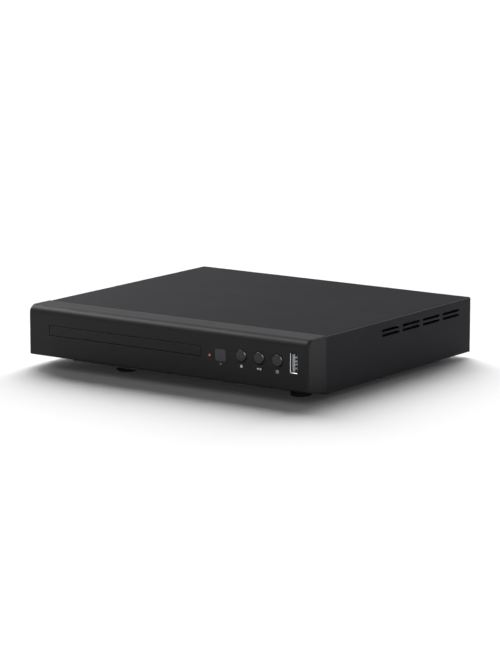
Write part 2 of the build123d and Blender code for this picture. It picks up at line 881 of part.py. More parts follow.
with BuildPart(loader) as pulley_gear:
    with BuildSketch(upright_at(pulley_x, pulley_back, pulley_low)):
        add(pulley_half(pulley_radius, drive_pin + run_fit))
    revolve(axis=Axis((tray_x + pulley_x, disc_y + pulley_back, 0), (0, 0, 1)))
    post(pulley_x, pulley_back, (pulley_top, wheel_low), pulley_pinion_radius - dedendum)
    with BuildSketch(loader.offset(wheel_low)):
        with Locations((pulley_x, pulley_back)):
            add(gear_face(pulley_teeth), rotation=mesh_angle + 180 + 180 / pulley_teeth)
    extrude(amount=wheel_thick)
    bore_span = (pulley_top, wheel_top)
    post(pulley_x, pulley_back, bore_span, drive_pin + run_fit, mode=Mode.SUBTRACT)
keep("pulley_gear", pulley_gear)

motor_low = floor_top + play
motor_top = pulley_low - 4 * play
with BuildPart(loader) as motor_pulley:
    with BuildSketch(upright_at(motor_x, pulley_back, pulley_low)):
        add(pulley_half(motor_pulley_radius, 0))
    revolve(axis=Axis((tray_x + motor_x, disc_y + pulley_back, 0), (0, 0, 1)))
    post(motor_x, pulley_back, (motor_low + motor_radius / 2, pulley_low), shaft_radius)
keep("motor_pulley", motor_pulley)

with BuildPart(loader) as loading_motor:
    post(motor_x, pulley_back, (motor_low, motor_top), motor_radius)
    chamfer(loading_motor.edges().group_by(Axis.Z)[-1], motor_radius / 12)
    boss_top = pulley_low - play
    post(motor_x, pulley_back, (motor_top, boss_top), motor_pulley_radius)
    shaft_span = (motor_low + motor_radius / 2, boss_top)
    post(motor_x, pulley_back, shaft_span, shaft_radius + run_fit, mode=Mode.SUBTRACT)
keep("loading_motor", loading_motor)


def belt_loop(large, small):
    """Outline of a belt that runs round the pulley and the motor's pulley."""
    apart = pulley_x - motor_x
    lean = (large - small) / apart
    rise = math.sqrt(1 - lean**2)
    right = [(pulley_x - large * lean, side * large * rise) for side in (1, -1)]
    left = [(motor_x - small * lean, side * small * rise) for side in (1, -1)]
    with BuildSketch() as loop:
        with BuildLine():
            Line(left[0], right[0])
            ThreePointArc(right[0], (pulley_x + large, 0), right[1])
            Line(right[1], left[1])
            ThreePointArc(left[1], (motor_x - small, 0), left[0])
        make_face()
    return loop.sketch


with BuildPart(loader) as loading_belt:
    gap = 2 * run_fit
    with BuildSketch(loader.offset(belt_z - belt_wide / 2)):
        with Locations((0, pulley_back)):
            reach = gap + belt_thick
            add(belt_loop(pulley_radius + reach, motor_pulley_radius + reach))
            add(belt_loop(pulley_radius + gap, motor_pulley_radius + gap), mode=Mode.SUBTRACT)
    extrude(amount=belt_wide)
keep("loading_belt", loading_belt)

# Loader frame: a moulded tub with tray rails, gear pins, motor cup and pivots for the deck

frame_low = floor_top + frame_raise
frame_top = frame_low + frame_floor
rail_top = tray_low - play
tab_low = tray_high + play
inner_half = frame_half - frame_wall
lug_thick = 3.0
lug_in = deck_bay + 0.1
lug_half = pivot_radius + 2.5
guide_thick = 1.3
guide_high = 1.0
guide_long = 20.0
window_pitch = 42.0

with BuildPart(loader) as loader_frame:
    frame_long = frame_tail - frame_front
    with BuildSketch(loader.offset(frame_low)):
        with Locations((0, frame_front)):
            Rectangle(2 * frame_half, frame_long, align=(Align.CENTER, Align.MIN))
        with Locations((0, lift_front - bay_room)):
            bay = (2 * deck_bay, lift_rear - lift_front + 2 * bay_room)
            Rectangle(*bay, align=(Align.CENTER, Align.MIN), mode=Mode.SUBTRACT)
        with Locations((motor_x, pulley_back)):
            Circle(motor_radius + run_fit, mode=Mode.SUBTRACT)
    extrude(amount=frame_floor)
    for side in (-1, 1):
        wall = sorted((side * inner_half, side * frame_half))
        rail = sorted((side * inner_half, side * (inner_half - rail_wide)))
        slab(wall, (frame_front, frame_tail), (frame_low, bridge_z))
        slab(rail, (frame_front, frame_tail), (rail_top - rail_thick, rail_top))
        # tabs that keep the tray down
        for middle in (frame_front + tab_half, tab_middle, frame_tail - tab_rear_in):
            slab(rail, (middle - tab_half, middle + tab_half), (tab_low, tab_low + rail_thick))
        # lugs for the deck's pivots, and screw ears
        lug = sorted((side * lug_in, side * (lug_in + lug_thick)))
        slab(lug, (pivot_back - lug_half, pivot_back + lug_half), (frame_top, pivot_z + lug_half))
        ear = sorted((side * frame_half, side * (frame_half + ear_reach)))
        for middle in (ear_front, ear_rear):
            slab(ear, (middle - ear_half, middle + ear_half), (board_z, board_z + ear_thick))
            hole = (board_z, board_z + ear_thick)
            post(side * ear_x, middle, hole, screw_radius + screw_clear, mode=Mode.SUBTRACT)
    slab((-frame_half, frame_half), (frame_tail - frame_wall, frame_tail), (frame_low, rail_top))
    # light windows through the side walls
    for middle in (-8.0, -8.0 + window_pitch, -8.0 + 2 * window_pitch):
        span = (middle - window_pitch / 3, middle + window_pitch / 3)
        for side in (-1, 1):
            wall = sorted((side * (inner_half - play), side * (frame_half + play)))
            slab(wall, span, (board_z + 2 * ear_thick, rail_top - 2 * rail_thick), mode=Mode.SUBTRACT)
    # shouldered pins for the gears, and the motor's cup
    post(drive_x, drive_back, (frame_top, wheel_low - play / 2), drive_pin + 1.4)
    post(drive_x, drive_back, (frame_top, pinion_top - play), drive_pin)
    post(pulley_x, pulley_back, (frame_top, pulley_low - play / 2), drive_pin + 1.4)
    post(pulley_x, pulley_back, (frame_top, wheel_top - play), drive_pin)
    cup = (frame_low, (motor_low + motor_top) / 2)
    post(motor_x, pulley_back, cup, motor_radius + 1.3)
    post(motor_x, pulley_back, cup, motor_radius + run_fit, mode=Mode.SUBTRACT)
    # guide ribs either side of the cam slider
    for start in (cam_front - play - guide_thick, cam_front + cam_thick + play):
        slab((-guide_long, 0), (start, start + guide_thick), (frame_low, frame_top + guide_high))
    # bores for the deck's pivots
    with Locations(Location((-frame_half, pivot_back, pivot_z), (0, 90, 0))):
        Cylinder(pivot_radius + run_fit, 2 * frame_half, align=low, mode=Mode.SUBTRACT)
keep("loader_frame", loader_frame)

# Clamp bridge and clamper over the disc

bridge_top = bridge_z + bridge_thick
clamper_low = tray_high + clamper_rise

with BuildPart(loader) as clamp_bridge:
    with BuildSketch(loader.offset(bridge_z)):
        Rectangle(2 * frame_half, 2 * bridge_half)
        Circle(clamper_radius + clamper_room, mode=Mode.SUBTRACT)
        with GridLocations(4 * bridge_half, 0, 2, 1):
            RectangleRounded(1.2 * bridge_half, bridge_half, 3, mode=Mode.SUBTRACT)
    extrude(amount=bridge_thick)
    for side in (-1, 1):
        rib = sorted((side * bridge_half, side * (bridge_half - bridge_thick)))
        slab((-frame_half, frame_half), rib, (bridge_top, bridge_top + rib_high))
keep("clamp_bridge", clamp_bridge)

magnet_radius = 9.0
magnet_thick = 1.4
clamper_top = bridge_top + play + 1.5
with BuildPart() as clamper:
    with BuildSketch(upright_at(0, 0, 0)):
        with BuildLine():
            Polyline(
                (clamper_bore, clamper_low),
                (clamper_radius, clamper_low),
                (clamper_radius, bridge_top + play),
                (clamper_flange, bridge_top + play),
                (clamper_flange, clamper_top),
                (magnet_radius + run_fit, clamper_top),
                (magnet_radius + run_fit, clamper_top - magnet_thick),
                (0, clamper_top - magnet_thick),
                (0, clamper_top - 2 * magnet_thick),
                (clamper_bore, clamper_top - 2 * magnet_thick),
                close=True,
            )
        make_face()
    revolve(axis=spindle)
keep("clamper", clamper)

with BuildPart(loader) as clamper_magnet:
    post(0, 0, (clamper_top - magnet_thick, clamper_top), magnet_radius)
keep("clamper_magnet", clamper_magnet)

# Cam slider and the deck that it lifts

arm = pivot_back - (cam_front + cam_thick / 2)
cam_drop = arm * math.sin(math.radians(deck_tilt))
cam_slot = 2 * (cam_pin_radius + play)
cam_low = frame_top + play
cam_high = cam_pin_z + cam_slot / 2 + cam_margin

with BuildPart() as cam_slider:
    with BuildSketch(upright_at(0, cam_front, 0)) as plate:
        left = cam_pins[0] - cam_slot / 2 - cam_margin
        right = cam_pins[-1] + cam_travel + cam_slot / 2 + cam_margin
        with Locations(((left + right) / 2, (cam_low + cam_high) / 2)):
            Rectangle(right - left, cam_high - cam_low)
        fillet(plate.vertices(), cam_margin)
        slope = math.degrees(math.atan2(cam_drop, cam_travel))
        for x in cam_pins:
            with Locations((x + cam_travel / 2, cam_pin_z - cam_drop / 2)):
                SlotCenterToCenter(
                    math.hypot(cam_travel, cam_drop), cam_slot, rotation=-slope, mode=Mode.SUBTRACT
                )
    extrude(amount=-cam_thick)
keep("cam_slider", cam_slider)

plate_low = lift_high + damper_flange
plate_top = plate_low + plate_thick
damper_x = lift_half - damper_side_in
damper_backs = (lift_front + damper_in, lift_rear - damper_in)
damper_places = [(side * damper_x, v) for side in (-1, 1) for v in damper_backs]
stud_top = plate_top + damper_flange

with BuildPart(loader) as lift_frame:
    lift_middle = (lift_front + lift_rear) / 2
    lift_long = lift_rear - lift_front
    with BuildSketch(loader.offset(lift_low)):
        with Locations((0, lift_middle)):
            RectangleRounded(2 * lift_half, lift_long, lift_side / 2)
            bay = (2 * (lift_half - lift_side), lift_long - 2 * lift_bar)
            Rectangle(*bay, mode=Mode.SUBTRACT)
    extrude(amount=lift_high - lift_low)
    for x, v in damper_places:
        post(x, v, (lift_high, stud_top), stud_radius)
    for x in cam_pins:
        rod(x, cam_pin_z, (cam_front - play, lift_front + lift_bar / 2), cam_pin_radius)
    for side in (-1, 1):
        start = side * (lift_half - lift_side / 2)
        turn = (0, 90 * side, 0)
        with Locations(Location((start, pivot_back, pivot_z), turn)):
            pin_long = lug_in + lug_thick - lift_half + lift_side / 2
            Cylinder(pivot_radius, pin_long, align=low)
keep("lift_frame", lift_frame)

with BuildPart(loader) as deck_dampers:
    for x, v in damper_places:
        place = Location((tray_x + x, disc_y + v, lift_high))
        neck = damper_neck * math.cos(math.pi / 12)
        prism(place, stud_top - lift_high, neck, 12)
        prism(place, damper_flange, damper_radius, 12)
        prism(place * Location((0, 0, plate_top - lift_high)), damper_flange, damper_radius, 12)
        prism(place, stud_top - lift_high, stud_radius + run_fit, 12, mode=Mode.SUBTRACT)
keep("deck_dampers", deck_dampers)

pickup_low = rod_z - 3.0
lens_far = lens_back + pickup_travel
window_half = pickup_half + window_room
plate_half = lift_half - plate_in
rod_start = lens_back - pickup_front - 1.3 - holder_thick
rod_end = lens_far + pickup_rear + 1.3 + holder_thick
feed_tab = feed_motor_front + feed_motor_long
feed_end = lens_far + 8.0
tab_thick = 1.2
boss_radius = 5.2

with BuildPart(loader) as traverse_plate:
    with BuildSketch(loader.offset(plate_low)):
        plate_front = lift_front + 0.5
        plate_rear = lift_rear - 0.5
        with Locations((0, (plate_front + plate_rear) / 2)):
            RectangleRounded(2 * plate_half, plate_rear - plate_front, lift_side / 2)
        opening_front = lens_back - pickup_front + 1.0
        opening_rear = lens_far + pickup_rear + 1.0
        with Locations((0, (opening_front + opening_rear) / 2)):
            Rectangle(2 * window_half, opening_rear - opening_front, mode=Mode.SUBTRACT)
        Circle(boss_radius + play, mode=Mode.SUBTRACT)
        with Locations(*damper_places):
            Circle(damper_neck + run_fit, mode=Mode.SUBTRACT)
        with Locations((feed_x, feed_motor_front + feed_motor_long / 2)):
            notch = (2 * (feed_motor_radius + play), feed_motor_long + play)
            Rectangle(*notch, mode=Mode.SUBTRACT)
    extrude(amount=plate_thick)
    # holders of the guide rods and tabs of the feed screw
    for side in (-1, 1):
        holder = (side * rod_x - 2.6, side * rod_x + 2.6)
        for start in (rod_start, rod_end - holder_thick):
            slab(holder, (start, start + holder_thick), (rod_z - 2.4, plate_low + plate_thick / 2))
        rod(side * rod_x, rod_z, (rod_start, rod_end), rod_radius + run_fit, mode=Mode.SUBTRACT)
    tab = (feed_x - 4.2, feed_x + 4.2)
    for start in (feed_tab, feed_end):
        slab(tab, (start, start + tab_thick), (rod_z - 3.0, plate_low + plate_thick / 2))
    screw_span = (feed_tab, feed_end + tab_thick)
    rod(feed_x, rod_z, screw_span, feed_screw_radius + run_fit, mode=Mode.SUBTRACT)
keep("traverse_plate", traverse_plate)

with BuildPart(loader) as guide_rods:
    for side in (-1, 1):
        rod(side * rod_x, rod_z, (rod_start, rod_end), rod_radius)
keep("guide_rods", guide_rods)

# Spindle motor and turntable

table_top = recess_z + disc_lift
table_thick = 1.8
mat_groove = 0.4
mat_outer = table_radius - 0.4
shaft_low = spindle_low + 2.0

with BuildPart(loader) as spindle_motor:
    post(0, 0, (spindle_low, plate_low), spindle_radius)
    chamfer(spindle_motor.edges().group_by(Axis.Z)[0], spindle_radius / 12)
    post(0, 0, (plate_low, plate_top + play), boss_radius)
    post(0, 0, (shaft_low, plate_top + play), shaft_radius + run_fit, mode=Mode.SUBTRACT)
keep("spindle_motor", spindle_motor)

with BuildPart() as turntable:
    hub_low = plate_top + 2 * play
    with BuildSketch(upright_at(0, 0, 0)):
        with BuildLine():
            Polyline(
                (0, shaft_low),
                (shaft_radius, shaft_low),
                (shaft_radius, hub_low),
                (boss_radius, hub_low),
                (boss_radius, table_top - table_thick),
                (table_radius, table_top - table_thick),
                (table_radius, table_top - mat_groove),
                (mat_outer, table_top - mat_groove),
                (mat_outer - mat_wide, table_top - mat_groove),
                (mat_outer - mat_wide, table_top - mat_groove / 2),
                (hub_radius, table_top - mat_groove / 2),
                (hub_radius, table_top + hub_high / 2),
                (hub_radius * 0.8, table_top + hub_high),
                (0, table_top + hub_high),
                close=True,
            )
        make_face()
    revolve(axis=spindle)
keep("turntable", turntable)

with BuildPart(loader) as turntable_mat:
    mat_span = (table_top - mat_groove, table_top)
    post(0, 0, mat_span, mat_outer)
    post(0, 0, mat_span, mat_outer - mat_wide + run_fit, mode=Mode.SUBTRACT)
keep("turntable_mat", turntable_mat)

# Optical pickup on its rods, with the feed motor and screw

lens_radius = 2.6
lens_top = recess_z - 0.6
carrier_top = lens_top - 1.0
pickup_mid = plate_top + 3.3
nut_front = lens_back - 5.0
nut_rear = lens_back + 1.0

with BuildPart(loader) as optical_pickup:
    span = (lens_back - pickup_front, lens_back + pickup_rear)
    slab((-pickup_half, pickup_half), span, (pickup_low, plate_low - play))
    body = (-pickup_half * 0.75, pickup_half * 0.75)
    slab(body, (span[0] + 1.5, span[1] - 3.0), (plate_low - play, pickup_mid))
    carrier = (-pickup_half * 0.5, pickup_half * 0.5)
    slab(carrier, (lens_back - 8.0, lens_back + 8.0), (pickup_mid, carrier_top))
    fillet(optical_pickup.edges().filter_by(Axis.Z).group_by(Axis.X)[0], 1.5)
    slab((pickup_half - 1.0, feed_x + 3.0), (nut_front, nut_rear), (rod_z - 2.4, plate_low - play))
    for side in (-1, 1):
        rod(side * rod_x, rod_z, span, rod_radius + run_fit, mode=Mode.SUBTRACT)
    rod(feed_x, rod_z, (nut_front, nut_rear), feed_screw_radius + run_fit, mode=Mode.SUBTRACT)
keep("optical_pickup", optical_pickup)

with BuildPart(loader) as pickup_lens:
    post(0, lens_back, (carrier_top, lens_top), lens_radius)
    chamfer(pickup_lens.edges().group_by(Axis.Z)[-1], lens_radius / 4)
    post(0, lens_back, (carrier_top, carrier_top + 0.3), lens_radius + 1.0)
keep("pickup_lens", pickup_lens)

with BuildPart(loader) as feed_motor:
    rod(feed_x, rod_z, (feed_motor_front, feed_tab), feed_motor_radius)
    chamfer(feed_motor.edges().group_by(Axis.Y)[0], 0.5)
    shaft_end = (feed_tab - 5.0, feed_tab)
    rod(feed_x, rod_z, shaft_end, feed_screw_radius + run_fit, mode=Mode.SUBTRACT)
keep("feed_motor", feed_motor)

with BuildPart(loader) as feed_screw:
    rod(feed_x, rod_z, (feed_tab - 4.5, feed_end + tab_thick), feed_screw_radius)
keep("feed_screw", feed_screw)

# Main board with its chips, and the ribbon to the front board

plug_y = main_front + 4.0
with BuildPart() as main_board:
    with BuildSketch(Plane.XY.offset(board_z)):
        with BuildLine():
            Polyline(
                (main_left, main_front),
                (main_right, main_front),
                (main_right, board_rear),
                (strip_left, board_rear),
                (strip_left, strip_front),
                (main_left, strip_front),
                close=True,
            )
        make_face()
        with Locations(*board_places[:4]):
            Circle(screw_radius + screw_clear, mode=Mode.SUBTRACT)
    extrude(amount=board_thick)
    slab(
        (ribbon_x - ribbon_wide / 2 - 1, ribbon_x + ribbon_wide / 2 + 1),
        (plug_y, plug_y + plug_deep),
        (board_top, board_top + plug_deep),
    )
keep("main_board", main_board)

decoder_side = 20.0  # square chip
memory_width = 11.0
memory_long = 18.0
driver_width = 14.0
driver_long = 9.0
chip_high = 1.6
with BuildPart() as board_chips:
    main_long = board_rear - main_front
    memory_in = main_width / 4
    chips = (
        (0, 0.42, decoder_side, decoder_side),
        (-memory_in, 0.62, memory_width, memory_long),
        (memory_in, 0.62, driver_width, driver_long),
        (0, 0.2, driver_width, driver_long),
    )
    for step, share, wide, long in chips:
        x = ribbon_x + step
        y = main_front + share * main_long
        chip_span = (board_top, board_top + chip_high)
        slab((x - wide / 2, x + wide / 2), (y - long / 2, y + long / 2), chip_span)
keep("board_chips", board_chips)

with BuildPart() as front_ribbon:
    ribbon_start = board_face + board_thick + plug_deep
    ribbon_end = plug_y
    ribbon_low = board_top + plug_deep / 2
    with BuildSketch(Plane.YZ.offset(ribbon_x - ribbon_wide / 2)) as side:
        with BuildLine() as path:
            bend_at = (ribbon_start + ribbon_end) / 2
            FilletPolyline(
                (ribbon_start, ribbon_z),
                (bend_at - 2.5, ribbon_z),
                (bend_at + 2.5, ribbon_low),
                (ribbon_end, ribbon_low),
                radius=2.0,
            )
            offset(amount=ribbon_thick, side=Side.RIGHT)
        make_face()
    extrude(amount=ribbon_wide)
keep("front_ribbon", front_ribbon)

# Power board with its large components

with BuildPart() as power_board:
    with BuildSketch(Plane.XY.offset(board_z)):
        with Locations((inlet_x, (power_front + board_rear) / 2)):
            Rectangle(power_right - power_left, board_rear - power_front)
        with Locations(*board_places[4:]):
            Circle(screw_radius + screw_clear, mode=Mode.SUBTRACT)
    extrude(amount=board_thick)
keep("power_board", power_board)

power_long = board_rear - power_front
transformer_y = power_front + 0.42 * power_long
core_width = 22.0
core_deep = 8.0
core_high = 18.0
coil_radius = 8.0
base_high = 2.5
with BuildPart() as transformer:
    core_low = board_top + base_high
    slab(
        (inlet_x - core_width / 2 + base_high, inlet_x + core_width / 2 - base_high),
        (transformer_y - coil_radius, transformer_y + coil_radius),
        (board_top, core_low),
    )
    slab(
        (inlet_x - core_width / 2, inlet_x + core_width / 2),
        (transformer_y - core_deep / 2, transformer_y + core_deep / 2),
        (core_low, core_low + core_high),
    )
    post(inlet_x, transformer_y, (core_low, core_low + core_high - 2 * base_high), coil_radius)
keep("transformer", transformer)

capacitor_radius = 7.0
capacitor_high = 21.0
capacitor_y = power_front + 0.64 * power_long
with BuildPart() as bulk_capacitor:
    post(inlet_x, capacitor_y, (board_top, board_top + capacitor_high), capacitor_radius)
    chamfer(bulk_capacitor.edges().group_by(Axis.Z)[-1], capacitor_radius / 10)
keep("bulk_capacitor", bulk_capacitor)

sink_y = power_front + 0.18 * power_long
fin_count = 5
fin_pitch = 4.0
fin_thick = 1.4
fin_deep = 7.6
sink_back = 2.4
sink_high = 22.0
with BuildPart() as heat_sink:
    sink_wide = (fin_count - 1) * fin_pitch + fin_thick
    left = inlet_x - sink_wide / 2
    fin_y = sink_y + sink_back
    slab((left, left + sink_wide), (sink_y, fin_y), (board_top, board_top + sink_high))
    for fin in range(fin_count):
        start = left + fin * fin_pitch
        slab((start, start + fin_thick), (fin_y, fin_y + fin_deep), (board_top, board_top + sink_high))
keep("heat_sink", heat_sink)

# Rear sockets

with BuildPart() as mains_inlet:
    inlet_back = panel_y + 0.6 - inlet_depth
    with BuildSketch(at_y(inlet_back)):
        with Locations((inlet_x, inlet_z)):
            SlotOverall(inlet_width, inlet_height)
    extrude(amount=-inlet_depth)
    slab(
        (inlet_x - inlet_width / 2 + 2, inlet_x + inlet_width / 2 - 2),
        (inlet_back, wall_y - play),
        (board_top, inlet_z),
    )
    hollow_y = inlet_back + inlet_depth - inlet_hollow
    with BuildSketch(at_y(hollow_y)):
        with Locations((inlet_x, inlet_z)):
            SlotOverall(inlet_mouth, inlet_mouth_high)
    extrude(amount=-inlet_hollow, mode=Mode.SUBTRACT)
keep("mains_inlet", mains_inlet)

with BuildPart() as inlet_pins:
    for side in (-1, 1):
        x = inlet_x + side * inlet_pin_pitch / 2
        rod(x, inlet_z, (hollow_y, hollow_y + inlet_pin_long), inlet_pin_radius)
    chamfer(inlet_pins.edges().group_by(Axis.Y)[-1], inlet_pin_radius / 2)
keep("inlet_pins", inlet_pins)

with BuildPart() as digital_socket:
    digital_back = panel_y + 0.5 - digital_depth
    shoulder = digital_height / 3

    def digital_outline(inset):
        """Socket section with cut lower corners."""
        half = digital_width / 2 - inset
        high = digital_height / 2 - inset
        with BuildSketch() as outline:
            with BuildLine():
                Polyline(
                    (-half, high),
                    (half, high),
                    (half, -high + shoulder),
                    (half - shoulder, -high),
                    (-half + shoulder, -high),
                    (-half, -high + shoulder),
                    close=True,
                )
            make_face()
        return outline.sketch

    with BuildSketch(at_y(digital_back)):
        with Locations((digital_x, digital_z)):
            add(digital_outline(0))
    extrude(amount=-digital_depth)
    with BuildSketch(at_y(digital_back + 2.0)):
        with Locations((digital_x, digital_z)):
            add(digital_outline(digital_wall))
    extrude(amount=-digital_depth, mode=Mode.SUBTRACT)
    slab((digital_x - 5.4, digital_x + 5.4), (digital_back + 1, panel_y - 1.5), (digital_z, digital_z + 1.2))
keep("digital_socket", digital_socket)

block_front = wall_y - play - block_deep
ring_back = wall_y - play
shoulder_radius = barrel_radius + shoulder_out
with BuildPart() as phono_block:
    half = 1.5 * jack_pitch
    slab((jack_x - half, jack_x + half), (block_front, ring_back), (board_top, jack_z + jack_pitch / 2))
    for x in jack_xs:
        core_radius = barrel_radius - barrel_wall - run_fit
        rod(x, jack_z, (ring_back, panel_y + jack_reach / 2), core_radius)
        rod(x, jack_z, (ring_back - 2, panel_y + jack_reach / 2), core_radius / 2, mode=Mode.SUBTRACT)
keep("phono_block", phono_block)

with BuildPart() as phono_barrels:
    for x in jack_xs:
        span = (ring_back, panel_y + jack_reach)
        rod(x, jack_z, span, barrel_radius)
        rod(x, jack_z, (ring_back, panel_y + ring_proud + ring_room), shoulder_radius)
        rod(x, jack_z, span, barrel_radius - barrel_wall, mode=Mode.SUBTRACT)
keep("phono_barrels", phono_barrels)

with BuildPart() as phono_rings:
    for x in jack_xs:
        span = (ring_back, panel_y + ring_proud)
        rod(x, jack_z, span, ring_radius)
        rod(x, jack_z, span, shoulder_radius + run_fit, mode=Mode.SUBTRACT)
keep("phono_rings", phono_rings)

for name, piece in pieces.items():
    export_step(piece, f"parts/{name}.step")
print(len(pieces), "pieces written")
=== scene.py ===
# %% [markdown]
# # A compact disc player
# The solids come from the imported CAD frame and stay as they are. This lesson gives every
# solid the finish of the real material, adds the small pieces that CAD leaves out, and
# lights the player on a white table. Everything is in metres, in the frame of the CAD, and a
# size that is typed in millimetres is multiplied by MM.

# %% Load the frame
import math

import bmesh
import bpy
from mathutils import Matrix, Vector


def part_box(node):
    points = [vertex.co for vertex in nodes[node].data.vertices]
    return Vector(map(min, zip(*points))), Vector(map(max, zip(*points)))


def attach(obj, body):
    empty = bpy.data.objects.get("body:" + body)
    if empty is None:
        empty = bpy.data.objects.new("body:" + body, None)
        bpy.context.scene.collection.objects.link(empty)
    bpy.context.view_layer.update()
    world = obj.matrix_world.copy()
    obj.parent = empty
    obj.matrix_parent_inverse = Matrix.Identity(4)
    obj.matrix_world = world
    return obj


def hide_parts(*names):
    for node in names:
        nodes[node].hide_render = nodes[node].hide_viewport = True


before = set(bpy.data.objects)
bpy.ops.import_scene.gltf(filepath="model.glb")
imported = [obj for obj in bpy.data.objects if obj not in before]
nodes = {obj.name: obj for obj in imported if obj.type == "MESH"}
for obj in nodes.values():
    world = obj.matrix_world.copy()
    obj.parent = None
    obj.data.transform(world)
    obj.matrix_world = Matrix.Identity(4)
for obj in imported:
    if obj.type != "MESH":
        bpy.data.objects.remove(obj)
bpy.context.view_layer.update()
scene = bpy.context.scene
scene.view_settings.view_transform = "Standard"
MM = 0.001

# %% [markdown]
# ## Camera
# The view is a three-quarter one from the right with a long lens. Its place, its two angles
# and its lens were solved from the case's corners, which is surer than turning a camera by
# eye. The lens was found in pixels along the longer side of the picture, and Blender wants it
# in millimetres on a sensor whose longer side is 36 mm.

# %% Camera
FRONT_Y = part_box("front_fascia")[0].y
LENS_PIXELS = 2934.7
PICTURE_PIXELS = 650.0
SENSOR = 36.0
CAMERA_PLACE = (1.1212, FRONT_Y - 1.4862, 0.3826)
CAMERA_DIP = 10.454
CAMERA_TURN = 35.318
FARTHEST = 20.0

camera_data = bpy.data.cameras.new("camera")
camera_data.lens = LENS_PIXELS * SENSOR / PICTURE_PIXELS
camera_data.clip_end = FARTHEST
camera = bpy.data.objects.new("camera", camera_data)
camera.location = CAMERA_PLACE
camera.rotation_euler = (math.radians(90.0 - CAMERA_DIP), 0.0, math.radians(CAMERA_TURN))
scene.collection.objects.link(camera)
scene.camera = camera
print("camera at", tuple(round(v, 4) for v in camera.location))

# %% [markdown]
# ## Small helpers
# Colours are typed as the sRGB hex values that a colour picker shows, and one function turns
# them to the linear light that shaders need. A second one adds a node to a tree: settings are
# the node's own fields, and `inputs` takes numbers or sockets to link from. A Mix node keeps
# a set of sockets for every kind of data, so the sets that are used here get names.

# %% Colour and node helpers
MIX_A, MIX_B, MIX_RESULT = 6, 7, 2
MIX_VALUE_A, MIX_VALUE_B, MIX_VALUE_RESULT = 2, 3, 0


def linear(hex_code):
    """sRGB hex colour as linear RGBA."""
    values = [int(hex_code[i : i + 2], 16) / 255 for i in (1, 3, 5)]
    return [v / 12.92 if v <= 0.04045 else ((v + 0.055) / 1.055) ** 2.4 for v in values] + [1.0]


def add_node(tree, kind, inputs=None, **settings):
    """Adds one node with its settings, values and links."""
    made = tree.nodes.new(kind)
    for field, value in settings.items():
        setattr(made, field, value)
    for name, value in (inputs or {}).items():
        if isinstance(value, bpy.types.NodeSocket):
            tree.links.new(value, made.inputs[name])
        else:
            made.inputs[name].default_value = value
    return made


print("mid grey is", round(linear("#808080")[0], 3), "in linear light")

# %% Finish and size helpers
def start_finish(name, **constants):
    """An empty material with one Principled shader whose constants sit on its own sockets."""
    finish = bpy.data.materials.new(name)
    finish.use_nodes = True
    tree = finish.node_tree
    shader = tree.nodes["Principled BSDF"]
    for socket, value in constants.items():
        shader.inputs[socket.replace("_", " ")].default_value = value
    return finish, tree, shader


def per_mm(size):
    """Pattern scale for Object coordinates from a real size in millimetres."""
    return 1.0 / (size * MM)


def dress(finish, *names):
    """Gives CAD nodes a finish."""
    for name in names:
        nodes[name].data.materials.clear()
        nodes[name].data.materials.append(finish)


def middle_of(node):
    """Middle of a node's box."""
    low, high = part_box(node)
    return (low + high) / 2


print("grain of 1 mm has scale", per_mm(1.0))

# %% [markdown]
# ## A mottled surface
# Most real surfaces are never one flat colour: paint has an orange peel, a moulding carries
# the grain of its tool, rubber has bloom. They share one recipe: a noise of the true grain
# size drives a little colour and a small bump, and a second, broad noise changes the gloss as
# handling does. Only the numbers differ from finish to finish. A Bevel node can round the
# sharp CAD edges in the shading alone, which leaves the solids as they are.

# %% Recipe for grained surfaces
HANDLING = 38.0
GRAIN_DETAIL = 2.0
HANDLING_DETAIL = 3.0
NOISE_LOW, NOISE_HIGH = 0.3, 0.7
BUMP_STRENGTH = 0.6
BEVEL_SAMPLES = 4


def grained(name, dark, light, grain, bump, rough, bevel=0.0, stretch=(1, 1, 1), **constants):
    """Finish with grain, bump height and bevel in millimetres, and a roughness range."""
    finish, tree, shader = start_finish(name, **constants)
    place = add_node(tree, "ShaderNodeTexCoord").outputs["Object"]
    turned = add_node(tree, "ShaderNodeMapping", {"Vector": place, "Scale": stretch})
    fine = add_node(
        tree,
        "ShaderNodeTexNoise",
        {"Vector": turned.outputs["Vector"], "Scale": per_mm(grain), "Detail": GRAIN_DETAIL},
    )
    broad = add_node(
        tree,
        "ShaderNodeTexNoise",
        {"Vector": place, "Scale": per_mm(HANDLING), "Detail": HANDLING_DETAIL},
    )
    colour = add_node(
        tree,
        "ShaderNodeMix",
        {"Factor": fine.outputs["Fac"], MIX_A: linear(dark), MIX_B: linear(light)},
        data_type="RGBA",
    )
    tree.links.new(colour.outputs[MIX_RESULT], shader.inputs["Base Color"])
    gloss = add_node(
        tree,
        "ShaderNodeMapRange",
        {
            "Value": broad.outputs["Fac"],
            "From Min": NOISE_LOW,
            "From Max": NOISE_HIGH,
            "To Min": rough[0],
            "To Max": rough[1],
        },
    )
    tree.links.new(gloss.outputs["Result"], shader.inputs["Roughness"])
    relief = add_node(
        tree,
        "ShaderNodeBump",
        {"Height": fine.outputs["Fac"], "Distance": bump * MM, "Strength": BUMP_STRENGTH},
    )
    if bevel:
        soft = add_node(tree, "ShaderNodeBevel", {"Radius": bevel * MM}, samples=BEVEL_SAMPLES)
        tree.links.new(soft.outputs["Normal"], relief.inputs["Normal"])
    tree.links.new(relief.outputs["Normal"], shader.inputs["Normal"])
    return finish


print("broad noise has scale", round(per_mm(HANDLING), 2))

# %% [markdown]
# Some finishes need more than grain: a tint in one place, or a pattern of their own. Two
# helpers reach into a finish that the recipe made, so that the recipe itself stays short.

# %% Helpers for tints and patterns
def pattern_tree(finish):
    """The node tree of a grained finish, its Object coordinates and its shader."""
    tree = finish.node_tree
    place = next(n for n in tree.nodes if n.type == "TEX_COORD").outputs["Object"]
    return tree, place, tree.nodes["Principled BSDF"]


